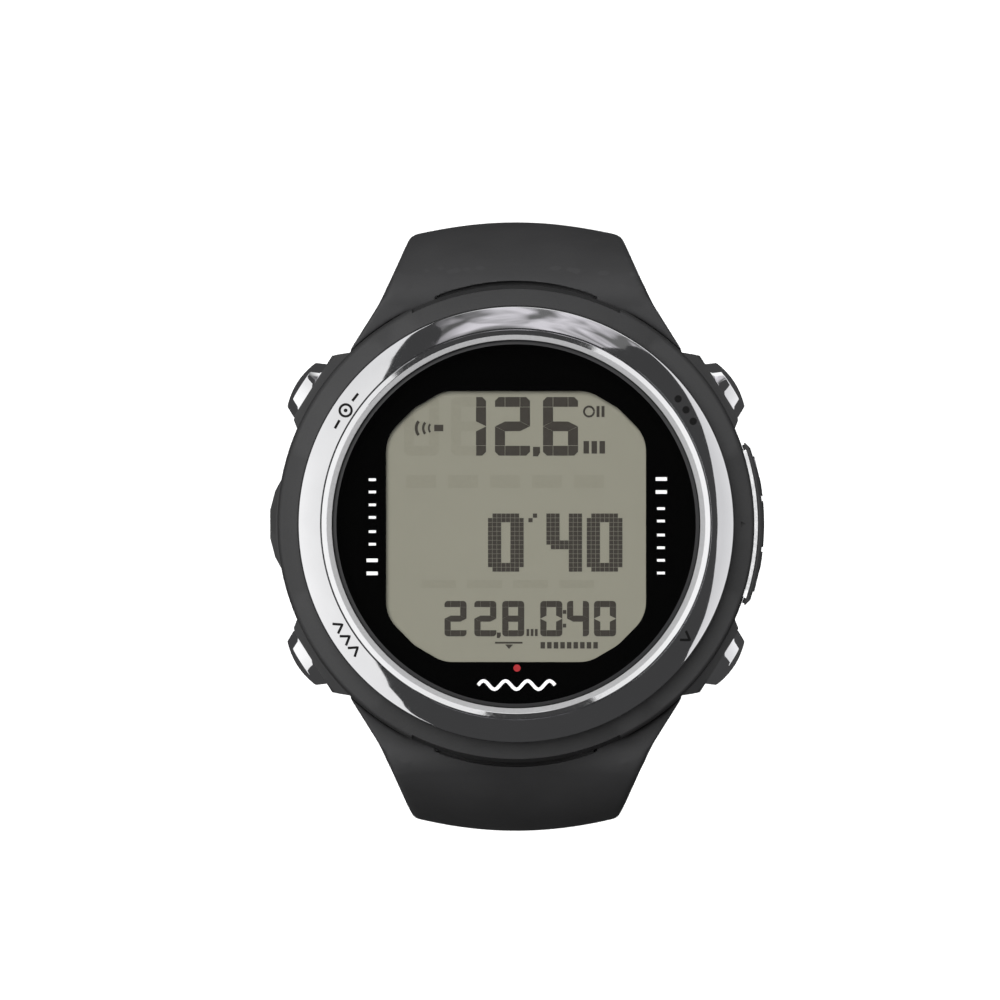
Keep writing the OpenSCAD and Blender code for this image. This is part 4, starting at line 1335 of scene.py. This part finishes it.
def make_keeper(name, node, body, heading):
    """Elastomer loop with round edges, standing across the strap."""
    gap = 0.35
    wall = 1.3
    half_w = 2.5
    side = [(0, 0.8), (0.16, 0.94), (0.4, 1), (0.75, 0.97), (0.94, 0.86), (1, 0.62)]
    section = [(0, -0.8)] + side + [(share, -y) for share, y in side[:0:-1]]
    low, high = -TIP_T - gap, TIP_T + 0.6
    inner = rounded_loop(STRAP_HALF + gap, low, high, 0.7, 6)
    outer = rounded_loop(STRAP_HALF + gap + wall, low - wall, high + wall, 1.7, 6)
    rows = []
    for (ix, iy), (ox, oy) in zip(inner, outer):
        rows.append([(mix(ix, ox, share), half_w * y, mix(iy, oy, share)) for share, y in section])
    keeper = new_object(name, *shell(rows, close_rows=True), [ELASTOMER])
    turn = Matrix.Translation((0, CURL_Y * MM, CURL_Z * MM)) \
        @ Matrix.Rotation(math.radians(-90 - heading), 4, "X") \
        @ Matrix.Translation((0, 0, BUCKLE_BENDS[1][0] * MM))
    keeper.data.transform(turn)
    subdivide = keeper.modifiers.new("round", "SUBSURF")
    subdivide.levels = 2
    subdivide.render_levels = 2
    bake_modifiers(keeper)
    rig.replaces(keeper, node)
    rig.slot(keeper, "strap_elastomer")
    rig.ride(keeper, body)


def heading_of(node):
    """Heading of the strap under a keeper, from the keeper's place round the curl."""
    low, high = low_high(node)
    middle_y = (low[1] + high[1]) / 2 - CURL_Y
    middle_z = (low[2] + high[2]) / 2 - CURL_Z
    return math.degrees(math.atan2(-middle_z, middle_y))


# ---- stage ----

def make_floor():
    """White sweep that the lit pieces neither mirror nor take light from."""
    half = 1500
    floor = new_object("floor", [(-half, -half, FLOOR_Z), (half, -half, FLOOR_Z), (half, half, FLOOR_Z),
                                 (-half, half, FLOOR_Z)], [(0, 1, 2, 3)], [FLOOR], shade=False)
    floor.visible_glossy = False
    floor.visible_diffuse = False
    floor.visible_shadow = False
    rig.stage(floor)
    return floor


def receivers(name, floor, state):
    """A light-linking collection that takes in or leaves out the floor."""
    group = bpy.data.collections.new(name)
    group.objects.link(floor)
    group.collection_objects[0].light_linking.link_state = state
    return group


def on_sphere(azimuth, elevation, radius=1.0):
    return (radius * cos(azimuth) * cos(elevation), radius * sin(azimuth) * cos(elevation),
            radius * sin(elevation))


def sun(name, group, azimuth, elevation, strength, spread):
    """A wide soft light from a direction, not mirrored itself."""
    data = bpy.data.lights.new(name, "SUN")
    data.energy = strength
    data.angle = math.radians(spread)
    lamp = placed(name, data)
    toward = Vector(on_sphere(azimuth, elevation))
    lamp.rotation_euler = toward.to_track_quat("Z", "Y").to_euler()
    lamp.visible_glossy = False
    lamp.light_linking.receiver_collection = group
    return lamp


def glow(name, colour_of):
    """Emission whose colour socket is made by a function of the shader and its coordinates."""
    shader = Shader(name)
    shader.tree.nodes.remove(shader.bsdf)
    split = shader.add("ShaderNodeSeparateXYZ")
    coords = shader.add("ShaderNodeTexCoord").outputs["Generated"]
    shader.link(coords, split.inputs["Vector"])
    emission = shader.add("ShaderNodeEmission")
    shader.link(colour_of(shader, coords, split), emission.inputs["Color"])
    shader.link(emission.outputs["Emission"], shader.tree.nodes["Material Output"].inputs["Surface"])
    return shader.material


def streaked(shader, coords, split):
    """Soft leaning streaks, bright along the foot and fading at one side."""
    lean = shader.add("ShaderNodeMapping")
    lean.inputs["Scale"].default_value = (3.4, 1.0, 1.3)
    lean.inputs["Rotation"].default_value = (0.0, 0.5, 0.0)
    shader.link(coords, lean.inputs["Vector"])
    noise = shader.add("ShaderNodeTexNoise")
    noise.inputs["Scale"].default_value = 1.6
    noise.inputs["Detail"].default_value = 2.0
    noise.inputs["Distortion"].default_value = 0.6
    shader.link(lean.outputs["Vector"], noise.inputs["Vector"])
    streaks = shader.ramp(noise.outputs["Fac"], [(0.38, 0.16), (0.62, (0.74, 0.72, 0.76))])
    foot = shader.ramp(split.outputs["Z"], [(0.2, 1.0), (0.3, 0.0)])
    lit = shader.blend(foot, streaks, (1.0, 1.0, 1.0))
    side = shader.ramp(split.outputs["X"], [(0.0, 0.0), (0.24, 1.0)])
    return shader.blend(side, (0.045, 0.045, 0.045), lit)


def left_tone(shader, coords, split):
    """Brightest at the foot and in the middle."""
    height = shader.ramp(split.outputs["Z"], [(0.1, 1.0), (1.0, 0.0)])
    middle = shader.ramp(split.outputs["Y"], [(0.0, 0.1), (0.35, 1.0), (0.6, 0.9), (0.85, 0.05)])
    low = shader.blend(height, (0.78, 0.78, 0.78), (0.84, 0.84, 0.85))
    high = shader.blend(height, (0.92, 0.92, 0.92), (1.1, 1.1, 1.1))
    return shader.blend(middle, low, high)


def right_tone(shader, coords, split):
    return shader.ramp(split.outputs["Z"], [(0.2, (0.86, 0.86, 0.87)), (0.8, (0.7, 0.7, 0.71))])


# Reflectors as (elevation, first azimuth, last azimuth) rows. The band mirrors each azimuth in
# its own place and each elevation at its own radius, so the rows give the highlight's outline.
TOP_ROWS = ((-2, 57, 112), (8, 57, 112), (16, 52, 112), (22, 56, 112), (31, 58, 111), (40, 58, 111),
            (50, 61, 112), (62, 64, 114))
LEFT_ROWS = ((-6, 112, 248), (5, 114, 246), (14, 117, 243), (22, 121, 239), (31, 124, 237),
             (40, 127, 232), (50, 129, 230), (59, 132, 226), (66, 134, 222))
RIGHT_ROWS = ((-6, -39, 57), (5, -39, 57), (12, -39, 52), (17, -38, 46), (22, -36, 38), (31, -26, 28),
              (40, -18, 20), (46, -12, 13), (50, -5, 5))
CROWN_LEFT_ROWS = ((69, 129, 261), (77, 129, 261), (84, 129, 261))
CROWN_RIGHT_ROWS = ((69, -66, 66), (77, -66, 66), (84, -66, 66))
REFLECTOR_REACH = 600


def crown_tone(shader, coords, split):
    """Even glow, a little weaker towards 12 and 6 o'clock."""
    return shader.ramp(split.outputs["Y"], [(0.0, 0.8), (0.3, 1.05), (0.7, 1.05), (1.0, 0.8)])


def make_reflector(name, rows, tone):
    """Curved glowing sheet that only mirrors and sheens see."""
    across = 12
    verts = [on_sphere(mix(first, last, k / across), elevation, REFLECTOR_REACH)
             for elevation, first, last in rows for k in range(across + 1)]
    width = across + 1
    faces = [(i * width + k, i * width + k + 1, (i + 1) * width + k + 1, (i + 1) * width + k)
             for i in range(len(rows) - 1) for k in range(across)]
    sheet = new_object(name, verts, faces, [glow(name + "_glow", tone)])
    sheet.visible_camera = False
    sheet.visible_diffuse = False
    sheet.visible_shadow = False
    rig.stage(sheet)


def make_lights(floor):
    """Key light and bounce on the object; the floor has lights of its own, one without shadow."""
    all_but_floor = receivers("all_but_floor", floor, "EXCLUDE")
    sun("key_light", all_but_floor, azimuth=125, elevation=70, strength=3.2, spread=45)
    for azimuth in (60, 240):
        sun(f"bounce_{azimuth}", all_but_floor, azimuth, elevation=-60, strength=0.75, spread=60)
    floor_only = receivers("floor_only", floor, "INCLUDE")
    overhead = dict(azimuth=0, elevation=90, spread=0.6)
    sun("floor_light", floor_only, strength=2.1, **overhead)
    sun("floor_fill", floor_only, strength=2.5, **overhead).data.use_shadow = False


def make_world():
    """Dim room for reflections and fill, pale where the camera looks straight at it."""
    world = bpy.data.worlds.new("room")
    bpy.context.scene.world = world
    world.use_nodes = True
    tree = world.node_tree
    dim = tree.nodes["Background"]
    dim.inputs["Color"].default_value = (0.052, 0.052, 0.053, 1)
    pale = tree.nodes.new("ShaderNodeBackground")
    pale.inputs["Color"].default_value = (1, 1, 1, 1)
    path = tree.nodes.new("ShaderNodeLightPath")
    choose = tree.nodes.new("ShaderNodeMixShader")
    tree.links.new(path.outputs["Is Camera Ray"], choose.inputs["Fac"])
    tree.links.new(dim.outputs["Background"], choose.inputs[1])
    tree.links.new(pale.outputs["Background"], choose.inputs[2])
    tree.links.new(choose.outputs["Shader"], tree.nodes["World Output"].inputs["Surface"])


def make_camera():
    """Long lens straight above the dial, a little off its centre."""
    view_width = 100.0
    height = 2500.0
    offset = (-1.6, 2.4)
    data = bpy.data.cameras.new("camera")
    data.sensor_width = 36
    data.lens = data.sensor_width * height / view_width
    data.clip_start = 0.01
    data.clip_end = 10
    camera = placed("camera", data)
    camera.location = (offset[0] * MM, offset[1] * MM, (height + 12) * MM)
    bpy.context.scene.camera = camera


make_camera()
make_lights(make_floor())
for reflector, reflector_rows, reflector_tone in (
        ("top_reflector", TOP_ROWS, streaked), ("left_reflector", LEFT_ROWS, left_tone),
        ("right_reflector", RIGHT_ROWS, right_tone),
        ("crown_reflector_left", CROWN_LEFT_ROWS, crown_tone),
        ("crown_reflector_right", CROWN_RIGHT_ROWS, crown_tone)):
    make_reflector(reflector, reflector_rows, reflector_tone)
make_world()
bpy.context.scene.view_settings.view_transform = "Standard"

paint_nodes()
make_bezel()
make_bezel_marks()
for button_place, button_angle in BUTTON_ANGLES.items():
    make_button(button_place, button_angle)
    make_spring(button_place, button_angle)
make_sensor_trim()
make_crystal()
make_display()
make_mask()
make_dial_print()
buckle_side()
tail_side()
make_keeper("keeper_loop_fixed", "keeper_fixed", "strap_buckle", heading_of("keeper_fixed"))
make_keeper("keeper_loop_free", "keeper_free", "keeper", heading_of("keeper_free"))

visual_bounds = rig.bounds()
with open("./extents.json", "w") as size_file:
    json.dump({"cad": [list(c) for c in cad_bounds], "visual": [list(c) for c in visual_bounds]}, size_file)
